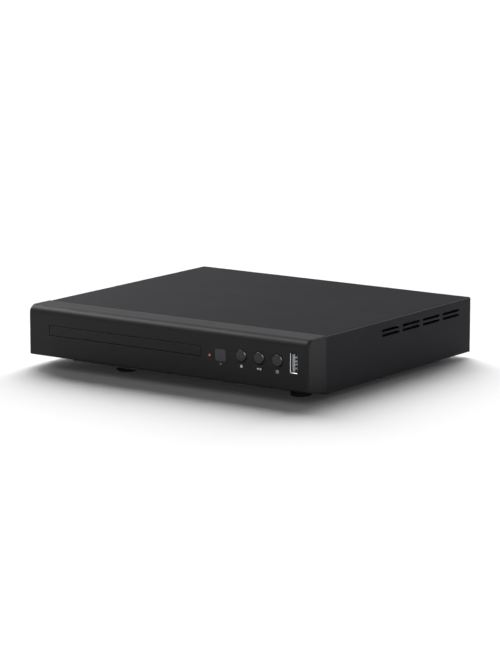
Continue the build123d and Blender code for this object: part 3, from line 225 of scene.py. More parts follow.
def tint_where(finish, share, hex_code):
    """Lays a colour over a grained finish where a share rises to one."""
    tree, _, shader = pattern_tree(finish)
    base = shader.inputs["Base Color"]
    laid = add_node(
        tree,
        "ShaderNodeMix",
        {"Factor": share, MIX_A: base.links[0].from_socket, MIX_B: linear(hex_code)},
        data_type="RGBA",
    )
    tree.links.new(laid.outputs[MIX_RESULT], base)


print("recipe ready")

# %% [markdown]
# ## Painted sheet steel
# The cover is folded steel with a satin black powder coat. Melted powder dries with a fine
# orange peel of about half a millimetre; it is drawn at 0.9 mm so that it shows at all. The
# coat is very matt, so at the camera's flat angle it must not mirror the white background,
# and its specular level is set low.

# %% Cover
powder_coat = grained(
    "powder_coated_steel", "#313134", "#353538", 0.9, 0.02, (0.64, 0.68), bevel=0.5,
    Specular_IOR_Level=0.03,
)
dress(powder_coat, "top_cover")
print("cover:", powder_coat.name)

# %% [markdown]
# Each fold gets a paler line, a painted highlight that stands in for the light that a rounded
# fold catches. It could be laid on by hand, but the surface itself says where a fold is: a flat
# sheet faces squarely along one axis, so the largest part of its normal is 1, and on a fold it is less.

# %% Painted highlight on the folds
FLAT_SHEET = 0.97
FULL_FOLD = 0.8
coat_tree = powder_coat.node_tree
facing = add_node(coat_tree, "ShaderNodeNewGeometry").outputs["Normal"]
parts = add_node(coat_tree, "ShaderNodeVectorMath", {0: facing}, operation="ABSOLUTE")
split = add_node(coat_tree, "ShaderNodeSeparateXYZ", {"Vector": parts.outputs["Vector"]}).outputs
level = add_node(coat_tree, "ShaderNodeMath", {0: split["X"], 1: split["Y"]}, operation="MAXIMUM")
largest = add_node(
    coat_tree, "ShaderNodeMath", {0: level.outputs["Value"], 1: split["Z"]}, operation="MAXIMUM"
)
fold_highlight_share = add_node(
    coat_tree,
    "ShaderNodeMapRange",
    {"Value": largest.outputs["Value"], "From Min": FLAT_SHEET, "From Max": FULL_FOLD},
)
# The paler colour laid on the folds is a painted highlight.
tint_where(powder_coat, fold_highlight_share.outputs["Result"], "#646467")
print("fold tint over", len(coat_tree.nodes), "nodes")

# %% [markdown]
# ## Black mouldings
# Fascia and tray door are black ABS from a lightly spark-eroded mould: a satin skin with a
# very fine grain. The buttons are the same plastic from a polished mould, so they are darker
# in themselves and bright where they mirror a lamp. The tray and the loader inside are
# plainer, with a coarser grain.

# %% Fascia, door, buttons, tray
moulded_abs = grained(
    "moulded_black_abs", "#222224", "#262628", 0.6, 0.008, (0.36, 0.41), bevel=0.35,
    Specular_IOR_Level=0.135,
)
button_abs = grained(
    "satin_button_abs", "#0d0d0e", "#111112", 0.5, 0.006, (0.18, 0.24),
    Specular_IOR_Level=0.34,
)
tray_abs = grained(
    "textured_tray_abs", "#1b1b1c", "#232324", 0.8, 0.03, (0.45, 0.6), bevel=0.25,
    Specular_IOR_Level=0.35,
)
dress(moulded_abs, "front_fascia", "tray_door")
dress(button_abs, "eject_button", "play_button", "standby_button")
dress(tray_abs, "disc_tray", "loader_frame", "lift_frame", "turntable", "mains_inlet", "phono_block")
print("mouldings:", moulded_abs.name, button_abs.name, tray_abs.name)

# %% [markdown]
# ## Window
# Behind the smoked polycarbonate window sits the infrared receiver. The plastic passes
# infrared and looks nearly black, with a faint warm tint and a clear polish. True glass would
# cost time and show only the dark behind it, so an opaque polished surface does.

# %% Infrared window
smoked_window = grained(
    "smoked_polycarbonate", "#343135", "#383539", 2.0, 0.002, (0.1, 0.16), Specular_IOR_Level=0.3
)
dress(smoked_window, "ir_window")
print("window:", smoked_window.name)

# %% [markdown]
# ## Standby light
# The standby light is a red acrylic pipe in front of a small LED. The middle of its end glows
# pale and its rim stays dark red, so a ramp over the distance from the middle colours both the
# surface and a faint emission, too weak to light the case around it.

# %% Light pipe
PIPE_GLOW = 0.25 * MM
PIPE_RIM = 0.95 * MM


def distance_across(tree, place, node):
    """Distance in the plane of the front from the middle of a node."""
    middle = middle_of(node)
    across = add_node(
        tree,
        "ShaderNodeMapping",
        {"Vector": place, "Location": (-middle.x, 0.0, -middle.z), "Scale": (1.0, 0.0, 1.0)},
    )
    length = add_node(tree, "ShaderNodeVectorMath", {0: across.outputs["Vector"]}, operation="LENGTH")
    return length.outputs["Value"]


light_pipe = grained(
    "red_acrylic_light_pipe", "#8a1f22", "#96262a", 0.8, 0.002, (0.2, 0.3), Emission_Strength=0.07
)
pipe_tree, pipe_place, pipe_shader = pattern_tree(light_pipe)
pipe_distance = distance_across(pipe_tree, pipe_place, "led_lens")
pipe_share = add_node(
    pipe_tree,
    "ShaderNodeMapRange",
    {"Value": pipe_distance, "From Min": PIPE_GLOW, "From Max": PIPE_RIM},
)
pipe_ramp = add_node(pipe_tree, "ShaderNodeValToRGB", {"Fac": pipe_share.outputs["Result"]})
pipe_ramp.color_ramp.elements[0].color = linear("#cf8c8a")
pipe_ramp.color_ramp.elements[1].color = linear("#3a1416")
pipe_tree.links.new(pipe_ramp.outputs["Color"], pipe_shader.inputs["Base Color"])
pipe_tree.links.new(pipe_ramp.outputs["Color"], pipe_shader.inputs["Emission Color"])
dress(light_pipe, "led_lens", "standby_led")
print("light pipe in the middle of", tuple(round(v, 4) for v in middle_of("led_lens")))

# %% [markdown]
# Some of the red light gets into the black moulding and shows as a dim halo. A lamp that small
# would make noise, so the halo is a tint on the fascia that fades over the same distance.

# %% Red spill on the fascia
SPILL_START = 1.0 * MM
SPILL_END = 3.6 * MM
spill_tree, spill_place, _ = pattern_tree(moulded_abs)
spill_distance = distance_across(spill_tree, spill_place, "led_lens")
spill_share = add_node(
    spill_tree,
    "ShaderNodeMapRange",
    {
        "Value": spill_distance,
        "From Min": SPILL_START,
        "From Max": SPILL_END,
        "To Min": 1.0,
        "To Max": 0.0,
    },
)
tint_where(moulded_abs, spill_share.outputs["Result"], "#3d1418")
print("halo ends", round(SPILL_END / MM, 2), "mm from the light")

# %% [markdown]
# ## Metals
# The front socket's shell, the phono barrels and the inlet's pins are nickel-plated. Rods and
# the feed screw are ground steel, motor cans are drawn steel with fine lines along the draw,
# the deck plate, the clamp bridge and the screws are plain pressed steel, and the pickup is
# die-cast. A stretched grain gives the lines of grinding, drawing and extruding. A metal keeps
# the default index of refraction.

# %% Plated, ground, drawn and cast metal
nickel = grained("nickel_plated_steel", "#c3c5c8", "#d0d2d5", 0.4, 0.003, (0.18, 0.28), Metallic=1.0)
ground_steel = grained(
    "ground_steel", "#b8b8b8", "#cfcfcf", 0.25, 0.004, (0.16, 0.24), stretch=(1, 0.1, 1), Metallic=1.0
)
drawn_can = grained(
    "drawn_steel_can", "#9d9c98", "#b0afab", 0.3, 0.01, (0.3, 0.42), stretch=(1, 1, 0.08), Metallic=1.0
)
pressed_steel = grained(
    "pressed_steel_plate", "#9a9a97", "#aaa9a6", 0.7, 0.01, (0.35, 0.5), bevel=0.2, Metallic=1.0
)
cast_alloy = grained(
    "die_cast_alloy", "#77777a", "#8b8b8e", 0.6, 0.05, (0.45, 0.6), bevel=0.2, Metallic=0.9
)
extruded_alloy = grained(
    "extruded_aluminium", "#a9abad", "#babcbe", 0.3, 0.01, (0.3, 0.4), stretch=(1, 1, 0.05), Metallic=1.0
)
dress(nickel, "port_shell", "phono_barrels", "inlet_pins", "clamper_magnet")
dress(ground_steel, "guide_rods", "feed_screw")
dress(drawn_can, "loading_motor", "spindle_motor", "feed_motor")
dress(pressed_steel, "traverse_plate", "clamp_bridge", "cover_screws", "loader_screws", "board_screws")
dress(cast_alloy, "optical_pickup")
dress(extruded_alloy, "heat_sink")
print("metals:", nickel.name, ground_steel.name, drawn_can.name, pressed_steel.name)

# %% [markdown]
# ## Zinc-plated sheet
# The chassis and the shell of the digital socket are zinc-plated. Zinc sets in flat crystals
# that differ in shade and gloss, a flowery spangle. Voronoi cells of a crystal's size are the
# nearest pattern: each cell has its own random value, and that drives both.

# %% Zinc with its spangle
SPANGLE = 6.0
ZINC_DARK = "#5e6062"
ZINC_LIGHT = "#77797c"
ZINC_ROUGH = (0.36, 0.52)
zinc = grained(
    "zinc_plated_sheet", ZINC_DARK, ZINC_LIGHT, 0.5, 0.006, ZINC_ROUGH, bevel=0.2, Metallic=0.85
)
zinc_tree, zinc_place, zinc_shader = pattern_tree(zinc)
zinc_cells = add_node(
    zinc_tree, "ShaderNodeTexVoronoi", {"Vector": zinc_place, "Scale": per_mm(SPANGLE), "Randomness": 1.0}
)
zinc_shade = add_node(
    zinc_tree,
    "ShaderNodeMix",
    {"Factor": zinc_cells.outputs["Color"], MIX_A: linear(ZINC_DARK), MIX_B: linear(ZINC_LIGHT)},
    data_type="RGBA",
)
zinc_gloss = add_node(
    zinc_tree,
    "ShaderNodeMapRange",
    {"Value": zinc_cells.outputs["Color"], "To Min": ZINC_ROUGH[0], "To Max": ZINC_ROUGH[1]},
)
zinc_tree.links.new(zinc_shade.outputs[MIX_RESULT], zinc_shader.inputs["Base Color"])
zinc_tree.links.new(zinc_gloss.outputs["Result"], zinc_shader.inputs["Roughness"])
dress(zinc, "chassis_pan", "digital_socket")
print("spangle of", SPANGLE, "mm on", zinc.name)

# %% [markdown]
# ## Rubber, acetal and the lens
# Feet, belt, turntable mat and deck dampers are synthetic rubber: dark, dry and dull, with a
# grey bloom. The gears, pulleys, cam slider, clamper and switch plungers are natural acetal,
# a waxy white plastic that lets a little light in. The pickup's lens is a coated moulding.

# %% Rubber, acetal, lens
rubber = grained(
    "synthetic_rubber", "#161616", "#202020", 0.9, 0.03, (0.7, 0.85), Specular_IOR_Level=0.3
)
acetal = grained(
    "natural_acetal", "#d9d6cb", "#e3e0d6", 1.2, 0.01, (0.3, 0.4), bevel=0.12, Subsurface_Weight=0.08,
    Subsurface_Radius=(0.001, 0.001, 0.0008),
)
coated_lens = grained(
    "coated_optical_plastic", "#5d6f9c", "#7a86ad", 3.0, 0.001, (0.03, 0.06), Coat_Weight=0.6
)
feet = [name for name in nodes if name.startswith("foot_")]
dress(rubber, *feet, "loading_belt", "turntable_mat", "deck_dampers")
dress(acetal, "drive_gear", "pulley_gear", "motor_pulley", "cam_slider", "clamper")
dress(acetal, "eject_plunger", "play_plunger", "standby_plunger")
dress(coated_lens, "pickup_lens")
print("rubber on", len(feet), "feet, acetal and lens dressed")

# %% [markdown]
# ## Tongue of the front socket
# The socket's tongue is grey nylon. Its nose lies near the mouth and catches the light, while
# its flanks lie in the narrow dark of the shell. The lamps alone leave the flanks too pale, so
# that shade is painted: the colour falls off within half a millimetre behind the nose.

# %% Nylon tongue with painted shade on its flanks
NOSE_PALE = 0.1 * MM
NOSE_END = 0.5 * MM
tongue_nylon = grained("grey_socket_nylon", "#a4a6a9", "#aeb0b3", 0.6, 0.008, (0.45, 0.55))
tongue_tree, tongue_place, _ = pattern_tree(tongue_nylon)
tongue_depth = add_node(tongue_tree, "ShaderNodeSeparateXYZ", {"Vector": tongue_place})
nose_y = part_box("port_tongue")[0].y
flank_painted_shade = add_node(
    tongue_tree,
    "ShaderNodeMapRange",
    {"Value": tongue_depth.outputs["Y"], "From Min": nose_y + NOSE_PALE, "From Max": nose_y + NOSE_END},
)
# The darker colour on the flanks is painted shade.
tint_where(tongue_nylon, flank_painted_shade.outputs["Result"], "#37383a")
dress(tongue_nylon, "port_tongue")
print("tongue's nose at", round(nose_y, 4))

# %% [markdown]
# ## Boards
# The boards are glass-epoxy laminate under green solder resist, where copper tracks show
# through as paler lines. Drawing a true layout would be long work for pieces inside the case,
# so the mortar of a brick pattern, at the spacing of tracks and broken by noise, stands for it.

# %% Boards under solder resist
RESIST = "#1d4d2c"
RESIST_LIGHT = "#205231"
TRACK_UNIT = 18.0
TRACK_WIDTH = 0.216
TRACK_RUN = 5.76
TRACK_SPACING = 1.98
TRACK_PATCH = 7.0
PATCH_LOW, PATCH_HIGH = 0.45, 0.55
resist = grained("green_solder_resist", RESIST, RESIST_LIGHT, 0.6, 0.01, (0.3, 0.5))
resist_tree, resist_place, resist_shader = pattern_tree(resist)
tracks = add_node(
    resist_tree,
    "ShaderNodeTexBrick",
    {
        "Vector": resist_place,
        "Color1": linear(RESIST),
        "Color2": linear(RESIST_LIGHT),
        "Mortar": linear("#3b7a4a"),
        "Scale": per_mm(TRACK_UNIT),
        "Mortar Size": TRACK_WIDTH / TRACK_UNIT,
        "Brick Width": TRACK_RUN / TRACK_UNIT,
        "Row Height": TRACK_SPACING / TRACK_UNIT,
    },
)
patches = add_node(
    resist_tree, "ShaderNodeTexNoise", {"Vector": resist_place, "Scale": per_mm(TRACK_PATCH)}
)
mask = add_node(
    resist_tree,
    "ShaderNodeMapRange",
    {"Value": patches.outputs["Fac"], "From Min": PATCH_LOW, "From Max": PATCH_HIGH},
)
board_colour = add_node(
    resist_tree,
    "ShaderNodeMix",
    {"Factor": mask.outputs["Result"], MIX_A: linear(RESIST), MIX_B: tracks.outputs["Color"]},
    data_type="RGBA",
)
resist_tree.links.new(board_colour.outputs[MIX_RESULT], resist_shader.inputs["Base Color"])
dress(resist, "front_board", "main_board", "power_board")
print("tracks every", TRACK_SPACING, "mm")

# %% [markdown]
# ## Components
# Chips, switches and the receiver are black epoxy, matt from the mould. The transformer is
# wound in dark brown polyester tape, whose turns show as long streaks: the grain is stretched
# along the winding.

# %% Chips and transformer
epoxy = grained("moulded_chip_epoxy", "#151516", "#1d1d1e", 0.4, 0.02, (0.55, 0.7))
tape = grained(
    "brown_polyester_tape", "#2a2622", "#332e29", 5.0, 0.02, (0.25, 0.4), stretch=(0.2, 0.2, 1.0)
)
dress(epoxy, "board_chips", "tact_switches", "ir_receiver")
dress(tape, "transformer")
print("components:", epoxy.name, tape.name)

# %% [markdown]
# The large capacitor is an aluminium can in a shrunk dark sleeve, with only the top bare. It is
# one solid in CAD, so height decides: above the sleeve's lip the colour is that of the metal
# and the surface turns metallic.

# %% Capacitor
BARE_TOP = 0.4 * MM
SLEEVE = "#1a2130"
sleeve = grained("capacitor_sleeve_and_top", SLEEVE, "#1e2636", 1.0, 0.01, (0.28, 0.4))
sleeve_tree, sleeve_place, sleeve_shader = pattern_tree(sleeve)
sleeve_height = add_node(sleeve_tree, "ShaderNodeSeparateXYZ", {"Vector": sleeve_place})
top_of_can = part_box("bulk_capacitor")[1].z
bare_top = add_node(
    sleeve_tree,
    "ShaderNodeMath",
    {0: sleeve_height.outputs["Z"], 1: top_of_can - BARE_TOP},
    operation="GREATER_THAN",
)
can_colour = add_node(
    sleeve_tree,
    "ShaderNodeMix",
    {"Factor": bare_top.outputs["Value"], MIX_A: linear(SLEEVE), MIX_B: linear("#77787b")},
    data_type="RGBA",
)
sleeve_tree.links.new(can_colour.outputs[MIX_RESULT], sleeve_shader.inputs["Base Color"])
sleeve_tree.links.new(bare_top.outputs["Value"], sleeve_shader.inputs["Metallic"])
dress(sleeve, "bulk_capacitor")
print("top of the can at", round(top_of_can, 4))

# %% [markdown]
# The ribbon to the front board is clear white polyester with flat conductors side by side. A
# wave pattern draws them. They lie about 1 mm apart on a real one, and are drawn six times as
# coarse so that they show. The Wave node turns once in 2 pi / 20 of its own units.

# %% Ribbon
CONDUCTOR_PITCH = 2.0 * math.pi
WAVE_TURN = 2.0 * math.pi / 20.0
RIBBON = "#dcdcd6"
ribbon = grained("flat_ribbon_polyester", RIBBON, "#d4d4ce", 1.0, 0.01, (0.35, 0.45))
ribbon_tree, ribbon_place, ribbon_shader = pattern_tree(ribbon)
conductors = add_node(
    ribbon_tree,
    "ShaderNodeTexWave",
    {"Vector": ribbon_place, "Scale": per_mm(CONDUCTOR_PITCH) * WAVE_TURN, "Distortion": 0.0},
    bands_direction="X",
)
ribbon_colour = add_node(
    ribbon_tree,
    "ShaderNodeMix",
    {"Factor": conductors.outputs["Fac"], MIX_A: linear(RIBBON), MIX_B: linear("#a9a9a4")},
    data_type="RGBA",
)
ribbon_tree.links.new(ribbon_colour.outputs[MIX_RESULT], ribbon_shader.inputs["Base Color"])
dress(ribbon, "front_ribbon")
print("conductors every", round(CONDUCTOR_PITCH, 2), "mm")

# %% [markdown]
# ## Phono jacks
# Each phono jack has a coloured ring: yellow for the picture, white and red for the sound.
# The three rings are one node, so the colour is picked by where a point lies across the back:
# a ramp without blending has one stop for each ring.

# %% Coloured rings
WHITE_RING = "#dedcd6"
rings = grained("coloured_jack_abs", WHITE_RING, "#d8d6d0", 0.5, 0.006, (0.28, 0.38), bevel=0.15)
rings_tree, rings_place, rings_shader = pattern_tree(rings)
rings_across = add_node(rings_tree, "ShaderNodeSeparateXYZ", {"Vector": rings_place})
rings_low, rings_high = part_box("phono_rings")
rings_share = add_node(
    rings_tree,
    "ShaderNodeMapRange",
    {"Value": rings_across.outputs["X"], "From Min": rings_low.x, "From Max": rings_high.x},
)
rings_ramp = add_node(rings_tree, "ShaderNodeValToRGB", {"Fac": rings_share.outputs["Result"]})
rings_ramp.color_ramp.interpolation = "CONSTANT"
rings_ramp.color_ramp.elements[0].color = linear("#d8a913")
rings_ramp.color_ramp.elements[1].position = 1 / 3
rings_ramp.color_ramp.elements[1].color = linear(WHITE_RING)
rings_ramp.color_ramp.elements.new(2 / 3).color = linear("#b3211f")
rings_tree.links.new(rings_ramp.outputs["Color"], rings_shader.inputs["Base Color"])
dress(rings, "phono_rings")
print("rings across", round(rings_low.x, 4), "to", round(rings_high.x, 4))

# %% [markdown]
# ## New pieces
# A new piece is a bmesh that a few operators shape. One function turns it into an object at
# the origin, gives it its finish and lets it ride on a body of the CAD. Where a piece is
# shaded smooth, edges over 40 degrees stay sharp.

# %% Helper for new pieces
WELD = 1e-7
SHARP_EDGE = math.radians(40.0)
QUARTER_TURN = math.radians(90.0)
FULL_TURN = 2.0 * math.pi


def place_piece(name, bm, body, finish, smooth=False):
    """Makes an object of a bmesh and lets it ride on a body."""
    bmesh.ops.remove_doubles(bm, verts=bm.verts, dist=WELD)
    bmesh.ops.recalc_face_normals(bm, faces=bm.faces)
    for edge in bm.edges:
        edge.smooth = edge.calc_face_angle(0.0) < SHARP_EDGE
    mesh = bpy.data.meshes.new(name)
    bm.to_mesh(mesh)
    bm.free()
    for face in mesh.polygons:
        face.use_smooth = smooth
    mesh.materials.append(finish)
    piece = bpy.data.objects.new(name, mesh)
    scene.collection.objects.link(piece)
    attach(piece, body)
    return piece


def new_verts(made):
    """The vertices that an operator has made."""
    return [part for part in made["geom"] if isinstance(part, bmesh.types.BMVert)]


print("eject button at", tuple(round(v, 4) for v in middle_of("eject_button")))

# %% [markdown]
# ## Button caps
# The CAD buttons have a plain double chamfer. The real caps come out of the mould with a soft
# rim, and that rim is what catches the light, so each gets a new cap: half of its outline is
# drawn as a chain of vertices, with an arc at the rim, and one full spin makes it round.

# %% Caps with a soft rim
CAP_RADIUS = 4.0
CAP_PROUD = 0.9
CAP_RIM = 0.8
RIM_STEPS = 6
FLANGE_RADIUS = 5.2
FLANGE_FRONT = 2.5
FLANGE_BACK = 3.7
STEM_RADIUS = 2.0
CAP_SIDES = 64


def cap_outline(stem_end):
    """Half outline of a cap from its face to its stem: radius and depth in millimetres."""
    outline = [(0.0, -CAP_PROUD)]
    for step in range(RIM_STEPS + 1):
        turn = QUARTER_TURN * step / RIM_STEPS
        inset = CAP_RIM * (math.sin(turn) - 1.0)
        drop = CAP_RIM * (1.0 - math.cos(turn))
        outline.append((CAP_RADIUS + inset, drop - CAP_PROUD))
    outline += [(CAP_RADIUS, FLANGE_FRONT), (FLANGE_RADIUS, FLANGE_FRONT)]
    outline += [(FLANGE_RADIUS, FLANGE_BACK), (STEM_RADIUS, FLANGE_BACK)]
    return outline + [(STEM_RADIUS, stem_end), (0.0, stem_end)]


def button_cap(name):
    """One round cap with flange and stem, in place of a CAD button."""
    middle = middle_of(name + "_button")
    outline = cap_outline((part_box(name + "_button")[1].y - FRONT_Y) / MM)
    bm = bmesh.new()
    chain = [bm.verts.new((middle.x + r * MM, FRONT_Y + y * MM, middle.z)) for r, y in outline]
    edges = [bm.edges.new(pair) for pair in zip(chain, chain[1:])]
    bmesh.ops.spin(
        bm, geom=chain + edges, axis=(0.0, 1.0, 0.0), cent=(middle.x, 0.0, middle.z),
        angle=FULL_TURN, steps=CAP_SIDES, use_merge=True,
    )
    cap = place_piece(name + "_cap", bm, name, button_abs, smooth=True)
    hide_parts(name + "_button")
    return cap


caps = [button_cap(name) for name in ("eject", "play", "standby")]
print("caps:", [(cap.name, len(cap.data.polygons)) for cap in caps])

# %% [markdown]
# ## Printed symbols
# Under the controls generic symbols are printed with a soft pad, in white and grey ink: a
# triangle on a bar for eject, a triangle with two bars for play and pause, a broken ring with
# a stroke for standby, and a short rounded mark under the window. They could be a picture on
# the fascia, but real shapes a few hundredths of a millimetre thick stay sharp from any
# distance. Each is a flat bmesh on the front face, thickened by an extrusion.

# %% Helpers for the symbols
INK = 0.03 * MM


def bar(left, low, right, high):
    """Corners of an upright bar in millimetres."""
    return [(left, low), (right, low), (right, high), (left, high)]


def arc(radius, start, end, steps):
    """Points of an arc in millimetres, angles in degrees."""
    turns = [math.radians(start + (end - start) * i / steps) for i in range(steps + 1)]
    return [(radius * math.cos(t), radius * math.sin(t)) for t in turns]


def print_symbol(name, ink, control, aside, drop, shapes):
    """One printed piece: outlines in millimetres round a place beside and under a control."""
    middle = middle_of(control) + Vector((aside * MM, 0.0, -drop * MM))
    bm = bmesh.new()
    for outline in shapes:
        corners = [(middle.x + x * MM, FRONT_Y, middle.z + z * MM) for x, z in outline]
        bm.faces.new([bm.verts.new(corner) for corner in corners])
    grown = bmesh.ops.extrude_face_region(bm, geom=list(bm.faces))
    bmesh.ops.translate(bm, verts=new_verts(grown), vec=(0.0, -INK, 0.0))
    return place_piece(name, bm, "case", ink)


print("ink height", INK)

# %% Inks
INK_FINISH = {"grain": 0.4, "bump": 0.002, "rough": (0.5, 0.6), "Specular_IOR_Level": 0.2}
white_ink = grained("white_pad_ink", "#ececee", "#f4f4f6", **INK_FINISH)
grey_ink = grained("grey_pad_ink", "#a0a0a3", "#a8a8ab", **INK_FINISH)
faint_ink = grained("faint_pad_ink", "#6b696c", "#737174", **INK_FINISH)
print("inks:", white_ink.name, grey_ink.name, faint_ink.name)

# %% Print eject, play, standby and the sensor mark
EJECT_ASIDE, EJECT_DROP = 0.2, 6.55
PLAY_DROP = 6.9
STANDBY_DROP = 7.05
SENSOR_DROP = 5.7
MARK_LONG = 0.8
eject_triangle = [(-0.95, -0.25), (0.95, -0.25), (0.0, 0.95)]
play_triangle = [(-1.5, -0.75), (0.15, 0.0), (-1.5, 0.75)]
broken_ring = arc(1.2, 115, 425, 20) + arc(0.6, 425, 115, 20)
rounded_mark = arc(0.5, 90, 270, 8) + [(x + MARK_LONG, z) for x, z in arc(0.5, -90, 90, 8)]
symbols = [
    print_symbol(
        "eject_symbol", white_ink, "eject_button", EJECT_ASIDE, EJECT_DROP,
        [eject_triangle, bar(-0.95, -0.9, 0.95, -0.5)],
    ),
    print_symbol(
        "play_symbol", white_ink, "play_button", 0.0, PLAY_DROP,
        [play_triangle, bar(0.45, -0.75, 0.85, 0.75), bar(1.15, -0.75, 1.55, 0.75)],
    ),
    print_symbol(
        "standby_symbol", grey_ink, "standby_button", 0.0, STANDBY_DROP,
        [broken_ring, bar(-0.25, -0.2, 0.25, 1.2)],
    ),
    print_symbol("sensor_mark", faint_ink, "ir_window", 0.0, SENSOR_DROP, [rounded_mark]),
]
print("symbols:", [symbol.name for symbol in symbols])

# %% [markdown]
# ## Shell of the front socket
# The shell is drawn from thin plated sheet. The CAD one is a rounded tube, cut off square. The
# mouth of the real one is coined to a slope that leads the plug in, which is why one side of
# the rim shines and the other stays dark. A cube loses its two ends, its four long edges are
# bevelled, solidify gives it the thickness of the sheet, and the inner edge of the mouth is
# pushed back to make the slope.

# %% Mouth of the socket shell
SHEET = 0.35 * MM
SHELL_ROUND = 0.7 * MM
LEAD_IN = 0.25 * MM
ROUND_STEPS = 4
FACING = 0.9
shell_low, shell_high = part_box("port_shell")
shell_middle = (shell_low + shell_high) / 2
shell_half = (shell_high - shell_low) / 2


def in_mouth(vert):
    """True for a vertex on the inner edge of the mouth."""
    away = vert.co - shell_middle
    across = max(abs(away.x) - shell_half.x + SHELL_ROUND, 0.0)
    up = max(abs(away.z) - shell_half.z + SHELL_ROUND, 0.0)
    inner = math.hypot(across, up) < SHELL_ROUND - SHEET / 2
    return inner and vert.co.y < shell_low.y + SHEET


print("mouth of the shell at", round(shell_low.y, 4))

# %% Socket shell
bm = bmesh.new()
bmesh.ops.create_cube(bm, size=2.0)
bmesh.ops.scale(bm, verts=bm.verts, vec=shell_half)
ends = [f for f in bm.faces if abs(f.normal.y) > FACING]
bmesh.ops.delete(bm, geom=ends, context="FACES_ONLY")
long_edges = [e for e in bm.edges if abs(e.verts[0].co.y - e.verts[1].co.y) > SHEET]
bmesh.ops.bevel(
    bm, geom=long_edges, offset=SHELL_ROUND, segments=ROUND_STEPS, profile=0.5, affect="EDGES", material=-1
)
bmesh.ops.translate(bm, verts=bm.verts, vec=shell_middle)
bmesh.ops.recalc_face_normals(bm, faces=bm.faces)
bmesh.ops.solidify(bm, geom=bm.faces, thickness=SHEET)
bmesh.ops.translate(bm, verts=[v for v in bm.verts if in_mouth(v)], vec=(0.0, LEAD_IN, 0.0))
drawn_shell = place_piece("port_shell_drawn", bm, "case", nickel, smooth=True)
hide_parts("port_shell")
shell_size = [round(side / MM, 2) for side in drawn_shell.dimensions]
print("socket shell:", len(drawn_shell.data.polygons), "faces, mm", shell_size)

# %% [markdown]
# ## Contacts in the front socket
# A type A socket carries four sprung contacts on its tongue. They are thin plated strips, so
# each is a narrow grid, bent to the bow that presses on the plug and then made solid. The CAD
# tongue stands half its thickness off the shell's left wall, and the strips lie on its right.

# %% Socket contacts
TONGUE_THICK = 1.85
CONTACT_PLACES = (-3.5, -1.0, 1.0, 3.5)
CONTACT_WIDTH = 1.0 * MM
CONTACT_LONG = 8.0 * MM
CONTACT_THICK = 0.2 * MM
CONTACT_BOW = 0.85 * MM
CONTACT_LIFT = 0.1 * MM
CONTACT_DEPTH = 4.6 * MM
CONTACT_STEPS = 12
plating = grained("tinned_bronze", "#dcdee0", "#e6e8ea", 0.3, 0.003, (0.5, 0.6), Metallic=1.0)
tongue_face = shell_low.x + SHEET + 1.5 * TONGUE_THICK * MM
tongue_z = middle_of("port_tongue").z
bm = bmesh.new()
for place in CONTACT_PLACES:
    strip = bmesh.ops.create_grid(bm, x_segments=1, y_segments=CONTACT_STEPS, size=0.5)["verts"]
    bmesh.ops.scale(bm, verts=strip, vec=(CONTACT_WIDTH, CONTACT_LONG, 1.0))
    bmesh.ops.rotate(bm, verts=strip, cent=(0, 0, 0), matrix=Matrix.Rotation(QUARTER_TURN, 3, "Y"))
    for vert in strip:
        spring = max(0.0, -vert.co.y / (CONTACT_LONG / 2))
        vert.co.x += CONTACT_BOW * math.sin(math.pi * spring) ** 2
    at = Vector((tongue_face + CONTACT_LIFT, shell_low.y + CONTACT_DEPTH, tongue_z + place * MM))
    bmesh.ops.translate(bm, verts=strip, vec=at)
bmesh.ops.solidify(bm, geom=bm.faces, thickness=CONTACT_THICK)
contacts = place_piece("port_contacts", bm, "case", plating)
print("contacts:", len(contacts.data.polygons), "faces")

# %% [markdown]
# ## Screws of the cover
# Three pan-head screws hold the cover's rear flange. The CAD screw is a plain twelve-sided
# head, so a rounder one with a cross recess takes its place. A cone makes the head, bevel
# rounds it, planes cut the outline of the cross into its face and an extrusion pushes the
# cross in.

# %% Cross of a pan head
HEAD_RADIUS = 2.6 * MM
HEAD_HEIGHT = 1.5 * MM
HEAD_MARGIN = 0.01 * MM
FACE_LEVEL = HEAD_HEIGHT - HEAD_MARGIN
CROSS_HALF = 0.32 * MM
CROSS_REACH = 1.25 * MM


def cut_face(head, size, axis):
    """Cuts the head's flat face along two planes, either side of its middle."""
    for side in (-1, 1):
        flat = [f for f in head.faces if all(v.co.z > FACE_LEVEL for v in f.verts)]
        edges = {e for f in flat for e in f.edges}
        verts = {v for f in flat for v in f.verts}
        bmesh.ops.bisect_plane(
            head,
            geom=flat + list(edges | verts),
            dist=WELD,
            plane_co=Vector(axis) * side * size,
            plane_no=axis,
        )


def in_cross(face):
    """True for a piece of the flat face inside the cross."""
    at = face.calc_center_median()
    near, far = sorted((abs(at.x), abs(at.y)))
    return at.z > FACE_LEVEL and near < CROSS_HALF and far < CROSS_REACH


print("cross of", round(2 * CROSS_REACH / MM, 2), "mm")

# %% Pan head
HEAD_ROUND = 0.7 * MM
HEAD_SIDES = 32
CROSS_DEPTH = 0.8 * MM


